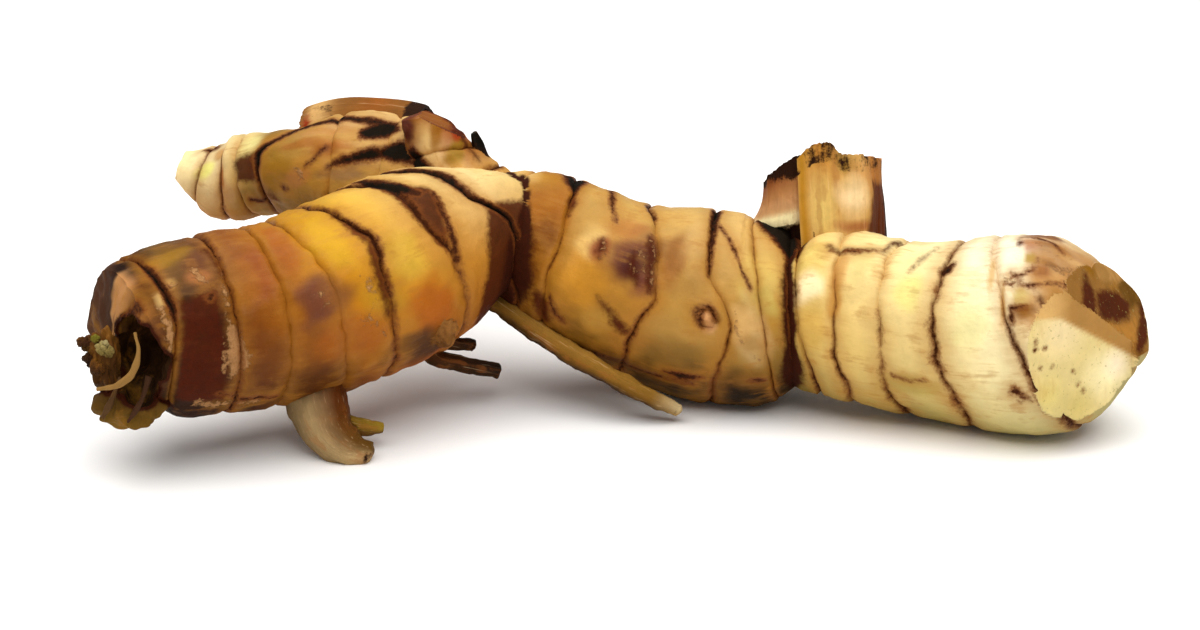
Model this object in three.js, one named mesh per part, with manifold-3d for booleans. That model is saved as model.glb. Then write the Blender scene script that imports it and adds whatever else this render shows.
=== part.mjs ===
// A galangal rhizome, broken from its clump and lying on a table: a forked, ringed, fleshy body with
// three thick limbs and a thin finger, two cut shoot stubs with their leaf sheaths, and a few roots.
// Millimetres, +Z up. +X runs to the fresh pale end and -Y to the side that is seen.

import * as THREE from "three";
import Module from "manifold-3d";
import { mergeVertices } from "three/addons/utils/BufferGeometryUtils.js";

const wasm = await Module();
wasm.setup();

// Driving dimensions
const RING_GROOVE = 0.55; // how far a leaf-scar ring sinks into the skin
const RING_LIP = 0.35; // how far the skin swells between two rings
const FIT_GAP = 0.35; // clearance round whatever is rooted in a socket
const SHEATH_THICKNESS = 1.1; // a cut leaf sheath
const SCALE_THICKNESS = 0.9; // a dry scale leaf
const FOOTPRINT_CENTRE = new THREE.Vector2(3.83, -3.87); // middle of the footprint, in the layout below

const UP = new THREE.Vector3(0, 0, 1);
const { smoothstep } = THREE.MathUtils;

const point = (x, y, z) => new THREE.Vector3(x, y, z);

// Solids

function solidOf(geometry) {
  const bare = geometry.clone();
  bare.deleteAttribute("normal");
  bare.deleteAttribute("uv");
  const merged = mergeVertices(bare, 1e-4);
  const triVerts = new Uint32Array(merged.index.array);
  const mesh = { numProp: 3, vertProperties: merged.attributes.position.array, triVerts };
  const solid = new wasm.Manifold(new wasm.Mesh(mesh));
  if (solid.volume() > 0) return solid;
  for (let i = 0; i < triVerts.length; i += 3) {
    [triVerts[i], triVerts[i + 1]] = [triVerts[i + 1], triVerts[i]];
  }
  return new wasm.Manifold(new wasm.Mesh(mesh));
}

function geometryOf(solid) {
  const mesh = solid.getMesh();
  const geometry = new THREE.BufferGeometry();
  geometry.setAttribute("position", new THREE.BufferAttribute(mesh.vertProperties, mesh.numProp));
  geometry.setIndex(new THREE.BufferAttribute(mesh.triVerts, 1));
  geometry.computeVertexNormals();
  return geometry;
}

function ball(centre, radii, turn = new THREE.Euler()) {
  const geometry = new THREE.SphereGeometry(1, 20, 12);
  geometry.scale(radii.x, radii.y, radii.z);
  geometry.applyMatrix4(new THREE.Matrix4().makeRotationFromEuler(turn));
  geometry.translate(centre.x, centre.y, centre.z);
  return solidOf(geometry);
}

// A box whose top face passes through a point and faces along a direction: what lies behind it stays.
function beyond(through, facing, reach = 60) {
  const geometry = new THREE.BoxGeometry(reach, reach, reach);
  geometry.translate(0, 0, reach / 2);
  const turn = new THREE.Quaternion().setFromUnitVectors(UP, facing.clone().normalize());
  geometry.applyQuaternion(turn);
  geometry.translate(through.x, through.y, through.z);
  return solidOf(geometry);
}

// A grown limb isn't quite round, and each stretch of it swells another way.
const grownLumps = (station, angle) =>
  0.45 * Math.sin(2 * angle + 1.7 * station) + 0.25 * Math.sin(3 * angle - 2.3 * station);
const noLumps = () => 0;

// A ring of a leaf scar is given by the stations where it crosses the limb's top, seen side, underside and back.
const ringStation = ([top, seen, under, back], angle) =>
  (top + seen + under + back) / 4 +
  ((top - under) / 2) * Math.cos(angle) +
  ((seen - back) / 2) * Math.sin(angle) +
  ((top + under - seen - back) / 4) * Math.cos(2 * angle);
const straight = (station) => [station, station, station, station];
const middleOf = (ring) => ring.reduce((sum, station) => sum + station, 0) / 4;

// A grown limb: cross-sections along a spine. Stations give the spine and its two half-widths, tall and deep.
// Angles round a section start at its top, or at the left of an upright one, and turn to the side that is seen.
class Limb {
  constructor(stations, upright = false) {
    this.upright = upright;
    this.count = stations.length - 1;
    this.spine = new THREE.CatmullRomCurve3(stations.map(([x, y, z]) => point(x, y, z)));
    this.widths = new THREE.CatmullRomCurve3(
      stations.map(([, , , tall, deep = tall]) => point(tall, deep, 0)),
      false,
      "catmullrom",
      0.5,
    );
  }

  section(station) {
    const t = THREE.MathUtils.clamp(station / this.count, 0, 1);
    const along = this.spine.getTangent(t);
    const seen = this.upright ? point(0, -1, 0) : new THREE.Vector3().crossVectors(along, UP);
    seen.addScaledVector(along, -seen.dot(along)).normalize();
    if (seen.y > 0) seen.negate();
    const top = new THREE.Vector3().crossVectors(along, seen).normalize();
    if (this.upright ? top.x > 0 : top.z < 0) top.negate();
    const width = this.widths.getPoint(t);
    return { centre: this.spine.getPoint(t), along, seen, top, tall: width.x, deep: width.y };
  }

  // A point of the skin. lean shifts it along the limb, and swell adds to the half-widths.
  skin(station, angle, share = 1, lean = 0, swell = 0) {
    const s = this.section(station);
    return s.centre
      .addScaledVector(s.along, lean)
      .addScaledVector(s.top, share * (s.tall + swell) * Math.cos(angle))
      .addScaledVector(s.seen, share * (s.deep + swell) * Math.sin(angle));
  }

  // Rows of skin: one at each ring, which sinks in, and some between two rings, which swell out.
  rows(rings, between, lip) {
    const rows = [];
    rings.forEach((ring, i) => {
      const next = rings[i + 1];
      rows.push({ ring, next: ring, share: 0, swell: next && i > 0 ? -RING_GROOVE : 0 });
      if (!next) return;
      for (let k = 1; k <= between; k++) {
        const share = k / (between + 1);
        rows.push({ ring, next, share, swell: lip * Math.sin(Math.PI * share) ** 0.5 });
      }
    });
    return rows;
  }

  // The whole limb. lumps(station, angle) adds to its half-widths, and grow makes it larger all over, for a socket.
  solid(rings, { between = 3, sides = 28, lip = RING_LIP, lumps = grownLumps, grow = 0 } = {}) {
    const rows = this.rows(rings, between, lip);
    const last = rows.length - 1;
    const geometry = new THREE.CylinderGeometry(1, 1, 1, sides, last);
    const position = geometry.attributes.position;
    for (let i = 0; i < position.count; i++) {
      const [x, y, z] = [position.getX(i), position.getY(i), position.getZ(i)];
      const n = Math.round((0.5 - y) * last);
      const { ring, next, share, swell } = rows[n];
      const angle = Math.atan2(x, z);
      const isSkin = Math.hypot(x, z) > 0.5;
      const from = isSkin ? ringStation(ring, angle) : middleOf(ring);
      const to = isSkin ? ringStation(next, angle) : middleOf(next);
      const station = THREE.MathUtils.lerp(from, to, share);
      const longer = n === 0 ? -grow : n === last ? grow : 0;
      const p = this.skin(station, angle, isSkin ? 1 : 0, longer, swell + lumps(station, angle) + grow);
      position.setXYZ(i, p.x, p.y, p.z);
    }
    return solidOf(geometry);
  }

  // A leaf that wraps part of the limb: a thin curved sheet, lifted off its skin by lift(along, round), where
  // both run from 0 to 1. torn(round) shortens its far edge, in stations. grow makes it larger, for a socket.
  leaf({ stations, angles, lift, thickness, cells = [6, 14], torn = () => 0, grow = 0 }) {
    const geometry = new THREE.BoxGeometry(1, 1, 1, ...cells, 1);
    const position = geometry.attributes.position;
    const spare = { station: grow / 10, angle: grow / 10 };
    for (let i = 0; i < position.count; i++) {
      const [x, y, z] = [position.getX(i) + 0.5, position.getY(i) + 0.5, position.getZ(i)];
      const start = stations[0] - spare.station;
      const end = stations[1] - torn(y) + spare.station;
      const angle = THREE.MathUtils.lerp(angles[0] - spare.angle, angles[1] + spare.angle, y);
      const height = lift(x, y) + thickness / 2 + (thickness + 2 * grow) * z;
      const p = this.skin(THREE.MathUtils.lerp(start, end, x), angle, 1, 0, height);
      position.setXYZ(i, p.x, p.y, p.z);
    }
    return solidOf(geometry);
  }
}

// Rhizome: one grown body. A station of a limb is [x, y, z, half-width tall, half-width deep if it differs].

const frontLimb = new Limb([
  [-10, 8, 29, 8],
  [-21.5, 1, 29.6, 11.6],
  [-33, -8.5, 28.2, 15.6],
  [-45, -16.5, 25.2, 16.7],
  [-57, -22.5, 22.8, 15.6],
  [-68, -27.5, 23, 14.6],
  [-75, -30.6, 23.3, 13.6],
  [-79.3, -32.5, 22.6, 12],
  [-84, -34.6, 21.9, 10.8],
]);
const frontRings = [
  straight(0),
  [1.55, 0.95, 0.9, 1.6],
  [2.2, 1.97, 1.95, 2.7],
  [3, 2.84, 2.95, 3.15],
  [3.55, 3.37, 3.5, 3.7],
  [4.87, 4.7, 4.72, 5],
  [6.05, 5.85, 6.5, 6.6],
  [6.75, 6.3, 7.3, 7.7],
];

const rearLimb = new Limb([
  [-21, 11, 32, 7.5],
  [-33, 16.5, 35.6, 9.8],
  [-45, 21, 35.8, 10.2],
  [-54, 24, 34.2, 9],
  [-61.5, 26.5, 33.2, 7.5],
  [-68, 28.5, 31.4, 7.3],
  [-74, 30, 32.1, 5.4],
  [-77.5, 31, 32.8, 3.4],
]);
const rearRings = [
  straight(0),
  straight(1.3),
  [2.1, 2.05, 2.3, 2.3],
  [3, 3.66, 3.7, 3.1],
  [4.3, 4.45, 4.5, 4.4],
  straight(5),
  [5.8, 5.85, 5.9, 5.8],
  straight(7),
];

const middleLimb = new Limb([
  [-24, 8, 30, 8],
  [-15, 5, 28.2, 11.8],
  [-7, 3.5, 25, 13.6],
  [4, 1.5, 20.6, 15.5],
  [14.5, 0, 17.6, 16.8],
  [25, -1, 16.3, 16.4],
  [32, -2, 16.9, 15.3],
  [37.5, -3, 17.2, 12.4],
]);
const middleRings = [
  straight(0),
  [0.9, 1.15, 1.7, 1.1],
  [1.7, 2, 2.2, 1.8],
  [3.02, 3.5, 3.4, 3.1],
  [4.25, 4.9, 4.65, 4.3],
  [5.4, 5.8, 5.9, 5.4],
  [6.35, 6.73, 6.9, 6.5],
  straight(7),
];

const paleLimb = new Limb([
  [33, -3.5, 18, 10.5],
  [37.5, -4.6, 17.7, 13.8],
  [43.5, -6.2, 17.4, 14.6],
  [52.5, -9, 16.6, 15.4],
  [62.5, -12, 16.2, 16.1],
  [73, -15, 16.8, 16.8],
  [81.5, -17.8, 18.9, 16.1],
  [88, -19.9, 21.3, 10.6],
  [92, -21.1, 23, 6.4],
  [94, -21.6, 23.4, 3],
]);
const paleRings = [
  straight(0),
  [0.3, 1.02, 1.6, 0.9],
  [1.75, 2.1, 2.5, 2.1],
  [2.86, 2.98, 3.4, 3.1],
  [3.98, 3.9, 4.35, 4.2],
  [4.65, 5.45, 5.95, 5],
  [6.9, 7, 7.2, 7],
  straight(8),
  straight(9),
];
// Two knife cuts slant across the end of the pale limb: one dried brown, above, and one fresh.
const driedCut = { through: point(83, -16.5, 33.8), facing: point(0.65, -0.52, 0.55) };
const freshCut = { through: point(71.5, -31.6, 20.5), facing: point(0.42, -0.9, 0.1) };

// The stump of a shoot that snapped off flush with its last leaf scar.
const brokenShoot = new Limb([
  [-17, 6, 27, 9],
  [-23.5, 8, 34, 8.2, 7.4],
  [-28.6, 10.5, 42, 6.1, 5.6],
  [-30.6, 12, 49, 5.1, 4.8],
], true);
const brokenShootRings = [
  straight(0),
  straight(1.7),
  straight(3),
];
const snapped = { through: point(-30.6, 12, 48.6), facing: point(0.4, -0.1, 0.9) };

const rottenHollow = { centre: point(-77.8, -38.6, 21.4), radii: point(7, 9, 8.2) };
const rottenLip = { centre: point(-78, -37, 13.2), radii: point(6, 5, 4.4) };
const rootKnob = { centre: point(-28.4, -9, 16.2), radii: point(4, 4, 4.4) };
const witheredBud = { centre: point(-27.4, -21.6, 20.4), radii: point(3, 3, 3) };
const eye = { centre: point(18.5, -15.4, 20.2), radii: point(2.3, 2.2, 2) };
const shootBase = { centre: point(42.2, 3.4, 20), radii: point(13, 12, 9.5) };

// Right shoot stub: a cut stem in its leaf sheaths, standing in the back of the pale limb.

const cutShoot = new Limb([
  [41.4, 3, 22],
  [41, 4, 30],
  [40.4, 5.4, 37.5],
  [39.7, 7, 46.5],
].map((centre) => [...centre, 7.8, 6.4]), true);
const innerSheath = {
  stations: [0.35, 2.75],
  angles: [-2.3, 1.22],
  lift: (along, round) => FIT_GAP + 2.4 * Math.min(1, 2.5 * along) * Math.sin(Math.PI * round) ** 1.5,
  thickness: SHEATH_THICKNESS,
  torn: (round) => Math.min(0.6, 2.2 * Math.max(0, 0.9 - round)) + 0.08 * Math.sin(17 * round) ** 2,
};
const outerSheath = {
  stations: [0.35, 3],
  angles: [1.08, 4.1],
  lift: (along, round) => 4 * FIT_GAP + SHEATH_THICKNESS -
    smoothstep(round, 0.25, 0.5) * (1 - smoothstep(round, 0.75, 0.9)),
  thickness: SHEATH_THICKNESS,
  torn: (round) => 0.26 * (1 - smoothstep(round, 0, 0.08)) + 0.2 * smoothstep(round, 0.18, 0.22) +
    0.7 * Math.max(0, round - 0.2),
  cells: [6, 24],
};
const SOCKET_LIFT = 5 * FIT_GAP + 2 * SHEATH_THICKNESS;

// Scale leaf: a dry one that still wraps the back of the rear limb, rooted along its lower edge.

const scaleLeaf = {
  stations: [1.15, 3.15],
  angles: [-1.35, -0.05],
  lift: (along, round) => -1.6 + 4.2 * Math.min(1, 1.6 * (1 - Math.abs(2 * round - 1))),
  thickness: SCALE_THICKNESS,
  torn: (round) => 0.16 * Math.sin(8 * round) ** 2,
};

const object = new THREE.Group();
object.position.set(-FOOTPRINT_CENTRE.x, -FOOTPRINT_CENTRE.y, 0);

function addNode(name, solid, { color, roughness, metalness = 0 }) {
  const material = new THREE.MeshStandardMaterial({ color, roughness, metalness });
  const mesh = new THREE.Mesh(geometryOf(solid), material);
  mesh.name = name;
  object.add(mesh);
}
const skin = { color: 0xc89b45, roughness: 0.45 };
const driedLeaf = { color: 0xc79a62, roughness: 0.6 };
const rootBark = { color: 0x8a5a1c, roughness: 0.6 };

// Roots: thin limbs whose upper ends are sunk in the rhizome.

const longRoot = new Limb([
  [-22, 0, 21.5, 1.7],
  [-17.5, -3.5, 18.2, 1.7],
  [-10.6, -8, 14.6, 1.6],
  [-5.3, -10.8, 11.9, 1.5],
  [0.5, -13.2, 9.2, 1.4],
  [8.8, -14.6, 5, 1.2],
  [13.7, -14.4, 2.6, 0.9],
]);
const frontRoot = new Limb([
  [-49, -22, 14, 4.6, 4],
  [-48, -26.5, 8.6, 4.8, 4],
  [-46, -29.2, 4.6, 4.2, 3.4],
  [-42.5, -30.8, 2.2, 3.2, 2.6],
  [-39, -31.4, 1.6, 1.6, 1.4],
], true);
const frontRootProng = new Limb([
  [-47, -27, 8, 2.4],
  [-43.5, -28, 5.6, 1.6],
  [-40, -27, 4.2, 1.2],
  [-37.3, -26, 3.8, 0.6],
]);
const rearRoot = new Limb([
  [16.5, 6.5, 9.5, 2.6],
  [15, 11, 6, 2.8],
  [13.4, 14.8, 2.8, 2.9],
  [12.2, 17.8, 1.2, 1.8],
]);
const upperRootlet = new Limb([
  [-29, -9, 14.6, 1.1],
  [-26, -8, 12.8, 1.1],
  [-22.6, -6, 11.4, 1],
]);
const lowerRootlet = new Limb([
  [-31, -10.4, 13.6, 1.3],
  [-29.5, -9.6, 10.8, 1.3],
  [-25, -8, 8.8, 1.2],
  [-18.1, -6, 6.6, 1.1],
]);
const endToEnd = (limb) => [straight(0), straight(limb.count)];
const root = (limb, grow = 0) =>
  limb.solid(endToEnd(limb), { between: 3 * limb.count - 1, sides: 10, lip: 0, lumps: noLumps, grow });

const floor = beyond(point(0, 0, 0), point(0, 0, -1), 400);
const frontRootSolid = (grow) => root(frontRoot, grow).add(root(frontRootProng, grow));

function rhizome() {
  const sunkIn = [
    cutShoot.solid(endToEnd(cutShoot), { lip: 0, lumps: noLumps, grow: SOCKET_LIFT }),
    rearLimb.leaf({ ...scaleLeaf, grow: FIT_GAP }),
    root(longRoot, FIT_GAP),
    frontRootSolid(FIT_GAP),
    root(rearRoot, FIT_GAP),
    root(upperRootlet, FIT_GAP),
    root(lowerRootlet, FIT_GAP),
  ];
  const shoot = brokenShoot
    .solid(brokenShootRings, { sides: 20 })
    .subtract(beyond(snapped.through, snapped.facing));
  let body = frontLimb
    .solid(frontRings)
    .add(ball(rottenLip.centre, rottenLip.radii))
    .subtract(ball(rottenHollow.centre, rottenHollow.radii))
    .add(rearLimb.solid(rearRings, { sides: 22 }))
    .add(middleLimb.solid(middleRings))
    .add(paleLimb.solid(paleRings))
    .subtract(beyond(driedCut.through, driedCut.facing))
    .subtract(beyond(freshCut.through, freshCut.facing))
    .add(shoot)
    .add(ball(shootBase.centre, shootBase.radii))
    .add(ball(rootKnob.centre, rootKnob.radii))
    .add(ball(witheredBud.centre, witheredBud.radii))
    .add(ball(eye.centre, eye.radii))
    .subtract(floor);
  for (const hole of sunkIn) body = body.subtract(hole);
  return body;
}

addNode("rhizome", rhizome(), skin);
const stem = cutShoot.solid([straight(0), straight(1.9)], { sides: 20, lip: 0, lumps: noLumps });
addNode("right_shoot_stem", stem, driedLeaf);
addNode("right_shoot_inner_sheath", cutShoot.leaf(innerSheath), driedLeaf);
addNode("right_shoot_outer_sheath", cutShoot.leaf(outerSheath), driedLeaf);
addNode("rear_scale_leaf", rearLimb.leaf(scaleLeaf), driedLeaf);
addNode("long_root", root(longRoot), rootBark);
addNode("front_root", frontRootSolid(0).subtract(floor), rootBark);
addNode("rear_root", root(rearRoot).subtract(floor), rootBark);
addNode("upper_rootlet", root(upperRootlet), rootBark);
addNode("lower_rootlet", root(lowerRootlet), rootBark);

export default object;
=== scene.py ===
# A galangal rhizome: a forked, ringed, fleshy body with dry leaf sheaths and a few roots.

import math

import bpy
import numpy as np
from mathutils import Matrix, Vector, kdtree, noise


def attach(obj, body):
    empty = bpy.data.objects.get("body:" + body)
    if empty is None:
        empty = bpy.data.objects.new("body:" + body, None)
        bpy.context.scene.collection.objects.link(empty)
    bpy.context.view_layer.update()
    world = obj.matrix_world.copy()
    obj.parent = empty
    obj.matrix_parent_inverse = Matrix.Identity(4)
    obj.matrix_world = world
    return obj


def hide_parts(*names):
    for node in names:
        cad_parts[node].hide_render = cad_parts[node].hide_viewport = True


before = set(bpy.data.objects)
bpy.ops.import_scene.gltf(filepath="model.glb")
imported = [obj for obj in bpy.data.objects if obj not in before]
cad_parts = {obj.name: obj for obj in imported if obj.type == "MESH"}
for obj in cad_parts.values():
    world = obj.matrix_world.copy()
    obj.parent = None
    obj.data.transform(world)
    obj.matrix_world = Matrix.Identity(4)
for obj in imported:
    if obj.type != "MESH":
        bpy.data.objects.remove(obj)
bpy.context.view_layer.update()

# Front limb
# The thickest limb of living rhizome, swollen between the ring scars where its scale leaves once sat.
# Firm starchy flesh under a thin waxy skin, amber by the fork and rotting to dark brown at its broken end.

MM = 0.001
FOOTPRINT_CENTRE = np.array([3.83, -3.87, 0.0])  # the stations below are laid out from another origin
FAR = 99.0  # farther, in millimetres, than any ring or mark reaches
OUTSIDE = -9.0  # the depth, in millimetres, of a point well outside a mark

HONEY, OCHRE, CREAM, STRAW = (176, 104, 24), (204, 158, 74), (246, 224, 160), (230, 200, 120)
UMBER, OLIVE, RUST, SOOT = (134, 76, 24), (178, 150, 74), (176, 94, 40), (26, 13, 8)


def linear(colour):
    """A colour given in 0 to 255 steps, as light intensities."""
    share = np.asarray(colour, float) / 255
    return np.where(share <= 0.04045, share / 12.92, ((share + 0.055) / 1.055) ** 2.4)


def smooth_curve(points, u, centripetal=True):
    """Places on the smooth curve through the points, for u from 0 to their count less one."""
    points = np.asarray(points, float)
    last = len(points) - 1
    u = np.clip(np.asarray(u, float), 0, last)
    i = np.minimum(u.astype(int), last - 1)
    w = (u - i)[..., None]
    longer = np.vstack([2 * points[0] - points[1], points, 2 * points[-1] - points[-2]])
    p0, p1, p2, p3 = longer[i], longer[i + 1], longer[i + 2], longer[i + 3]
    start, end = 0.5 * (p2 - p0), 0.5 * (p3 - p1)
    if centripetal:
        d0, d1, d2 = (
            np.maximum(((b - a) ** 2).sum(-1, keepdims=True), 1e-9) ** 0.25
            for a, b in ((p0, p1), (p1, p2), (p2, p3))
        )
        start = ((p1 - p0) / d0 - (p2 - p0) / (d0 + d1) + (p2 - p1) / d1) * d1
        end = ((p2 - p1) / d1 - (p3 - p1) / (d1 + d2) + (p3 - p2) / d2) * d1
    cubic = 2 * p1 - 2 * p2 + start + end
    return p1 + start * w + (-3 * p1 + 3 * p2 - 2 * start - end) * w**2 + cubic * w**3


def grain_at(points, size, seed=0.0):
    """Soft noise from -1 to 1 at each point, with lumps of about the given size in millimetres."""
    return np.array([noise.noise(Vector(p / size) + Vector((seed, 0, 0))) for p in points])


class Limb:
    """A grown limb along a spine. A station is [x, y, z, half-width tall, half-width deep if it differs].

    Angles start at the top, or at the left of an upright limb, and turn to the side that is seen.
    """

    def __init__(self, stations, upright=False):
        rows = np.array([row[:4] + [row[-1]] for row in stations], float)
        self.spine = rows[:, :3] - FOOTPRINT_CENTRE
        self.widths = rows[:, 3:]
        self.upright = upright
        self.count = len(rows) - 1
        steps = np.linspace(0, self.count, 400)
        places = smooth_curve(self.spine, steps)
        run = np.linalg.norm(np.diff(places, axis=0), axis=1)
        self.steps, self.run = steps, np.concatenate([[0], np.cumsum(run)])

    def length_to(self, u):
        return np.interp(u, self.steps, self.run)

    def section(self, u):
        centre = smooth_curve(self.spine, u)
        u = np.asarray(u)
        along = smooth_curve(self.spine, u + 1e-3) - smooth_curve(self.spine, u - 1e-3)
        along /= np.linalg.norm(along, axis=-1, keepdims=True)
        seen = np.cross(along, [0, 0, 1.0])
        if self.upright:
            seen = np.broadcast_to([0.0, -1.0, 0.0], along.shape)
        seen = seen - along * (seen * along).sum(-1, keepdims=True)
        seen /= np.linalg.norm(seen, axis=-1, keepdims=True)
        seen = np.where(seen[..., 1:2] > 0, -seen, seen)
        top = np.cross(along, seen)
        turned = top[..., 0:1] > 0 if self.upright else top[..., 2:3] < 0
        return centre, along, seen, np.where(turned, -top, top), smooth_curve(self.widths, u, False)

    def skin(self, u, degrees, swell=0.0, share=1.0):
        centre, _, seen, top, width = self.section(u)
        angle = np.radians(degrees)
        tall = share * (width[..., 0] + swell) * np.cos(angle)
        deep = share * (width[..., 1] + swell) * np.sin(angle)
        return centre + top * tall[..., None] + seen * deep[..., None]

    def flattened(self, u, degrees):
        """The skin unrolled: millimetres along the limb, and round it from the top."""
        girth = smooth_curve(self.widths, u, False).mean(-1)
        return np.stack([self.length_to(u), np.radians(degrees) * girth], -1)


def all_round(by_angle, degrees, blur=7):
    """A value given at some angles, worked out for every angle, with its corners rounded off."""
    keys = sorted(by_angle)
    values = np.interp(np.arange(360), keys, [by_angle[k] for k in keys], period=360)
    window = np.hanning(2 * blur + 3)[1:-1]
    padded = np.concatenate([values[-blur:], values, values[:blur]])
    soft = np.convolve(padded, window / window.sum(), "valid")
    return np.interp(degrees, np.arange(360), soft, period=360)


def depth_inside(at, half_width, corners):
    """How deep each flat place lies inside a mark, in millimetres, and below zero outside it.

    A mark is a line through its corners with a half-width, or a patch, whose half-width is None.
    """
    if half_width is None:
        corners = np.vstack([corners, corners[:1]])
    widths = np.interp(np.linspace(0, 1, len(corners)), np.linspace(0, 1, np.size(half_width)),
                       np.atleast_1d(0.0 if half_width is None else half_width).astype(float))
    best = np.full(len(at), -FAR)
    is_in = np.zeros(len(at), bool)
    for i, (a, b) in enumerate(zip(corners[:-1], corners[1:])):
        t = np.clip(((at - a) @ (b - a)) / max((b - a) @ (b - a), 1e-9), 0, 1)
        away = np.linalg.norm(at - a - t[:, None] * (b - a), axis=1)
        best = np.maximum(best, widths[i] + (widths[i + 1] - widths[i]) * t - away)
        crosses = (a[1] > at[:, 1]) != (b[1] > at[:, 1])
        slope = (b[0] - a[0]) / (b[1] - a[1] if b[1] != a[1] else 1e-9)
        is_in ^= crosses & (at[:, 0] < a[0] + slope * (at[:, 1] - a[1]))
    return np.where(is_in & (half_width is None), -best, best)


SMUDGE_CORE, SMUDGE_EDGE = 0.45, 0.75  # the share of a smudge that is solid, and that over which it fades
SKIN_SHADE, SKIN_DEPTH = 0.9, (1.52, 1.37, 1.18)  # soft light pales the skin, so its colours are deepened


def skin_tint(limb, u, degrees, bands, smudges):
    """The skin's colour with light and shade painted in: bands are [station, top, seen side, underside], and
    smudges lie over them. Most bands paint the top lighter, with painted highlight, and the underside darker,
    with painted shade.

    A smudge is (angle, station), (half-length along, half-width round) in millimetres, colour, strength.
    """
    stations = [band[0] for band in bands]
    sides = [
        np.stack([np.interp(u, stations, [linear(band[k])[c] for band in bands]) for c in range(3)], -1)
        for k in (1, 2, 3)
    ]
    # Round the limb the colour runs from the top, painted lighter as lit, past the seen side to the
    # underside, painted darker as shade.
    turns = np.array([0, 80, 138, 205, 280, 360])
    colours = np.stack([*sides, sides[2], (sides[0] + sides[1] + sides[2]) / 3, sides[0]])
    low = np.searchsorted(turns, degrees % 360, "right") - 1
    share = ((degrees % 360 - turns[low]) / (turns[low + 1] - turns[low]))[:, None]
    rows = np.arange(len(u))
    tint = colours[low, rows] * (1 - share) + colours[low + 1, rows] * share
    at = limb.flattened(u, degrees)
    wander = 0.35 * grain_at(np.c_[at, np.zeros(len(at))], 3.0, 4.7)
    for (angle, station), (long, wide), colour, strength in smudges:
        centre = limb.flattened(np.array([station]), np.array([angle]))[0]
        away = np.hypot((at[:, 0] - centre[0]) / long, (at[:, 1] - centre[1]) / wide) + wander
        fade = np.clip((away - SMUDGE_CORE) / SMUDGE_EDGE, 0, 1)
        cover = strength * (1 - fade**2 * (3 - 2 * fade))
        tint = tint * (1 - cover[:, None]) + linear(colour) * cover[:, None]
    return SKIN_SHADE * tint**SKIN_DEPTH


def add_values(mesh, tint, grain, **fields):
    """Puts a colour, the place along its grain and some numbers on each point of a mesh.

    A point is known until a join makes new ones, which take their values from those beside them.
    """
    for name, rgb in (("tint", tint), ("grain", grain)):
        layer = mesh.attributes.new(name, "FLOAT_COLOR", "POINT")
        layer.data.foreach_set("color", np.c_[rgb, np.ones(len(rgb))].ravel())
    for name, values in {"known": 1.0, **fields}.items():
        layer = mesh.attributes.new(name, "FLOAT", "POINT")
        layer.data.foreach_set("value", np.zeros(len(tint)) + values)


def deselect_all():
    for thing in bpy.context.selected_objects:
        thing.select_set(False)


def pick(piece):
    deselect_all()
    piece.select_set(True)
    bpy.context.view_layer.objects.active = piece


def places_of(mesh):
    places = np.empty(len(mesh.vertices) * 3)
    mesh.vertices.foreach_get("co", places)
    return places.reshape(-1, 3)


def put(piece, places):
    """Moves the piece's points to places that are given in millimetres."""
    piece.data.vertices.foreach_set("co", (places * MM).ravel())


def new_grid(name, across, round_it):
    """A flat square net of cells, and the share of each point along its two sides."""
    deselect_all()
    bpy.ops.mesh.primitive_grid_add(x_subdivisions=across, y_subdivisions=round_it, size=1)
    piece = bpy.context.object
    piece.name = piece.data.name = name
    places = places_of(piece.data)
    return piece, places[:, 0] + 0.5, places[:, 1] + 0.5


def turn_outwards(piece, merge=0.0):
    """Merges points closer than merge, as at the seam and poles of a rolled net, and turns faces outwards."""
    pick(piece)
    bpy.ops.object.mode_set(mode="EDIT")
    bpy.ops.mesh.select_all(action="SELECT")
    if merge:
        bpy.ops.mesh.remove_doubles(threshold=merge)
    bpy.ops.mesh.normals_make_consistent(inside=False)
    bpy.ops.object.mode_set(mode="OBJECT")


def smooth(piece, degrees=50):
    pick(piece)
    bpy.ops.object.shade_smooth_by_angle(angle=math.radians(degrees))


SEAM = 0.004 * MM
RING_DROP, DROP_FADE = 0.28, 2.2  # how far the skin steps down past a ring, and how soon it's back
RING_GROOVE, GROOVE_WIDTH = 0.36, 0.45
RING_SWELL, RING_LIP = 0.25, 0.1
CRACK_SHARE = 0.72  # how much of its given width a ring's dark crack takes up
STRAY = 0.42  # how far, in millimetres, the rings wander


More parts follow.
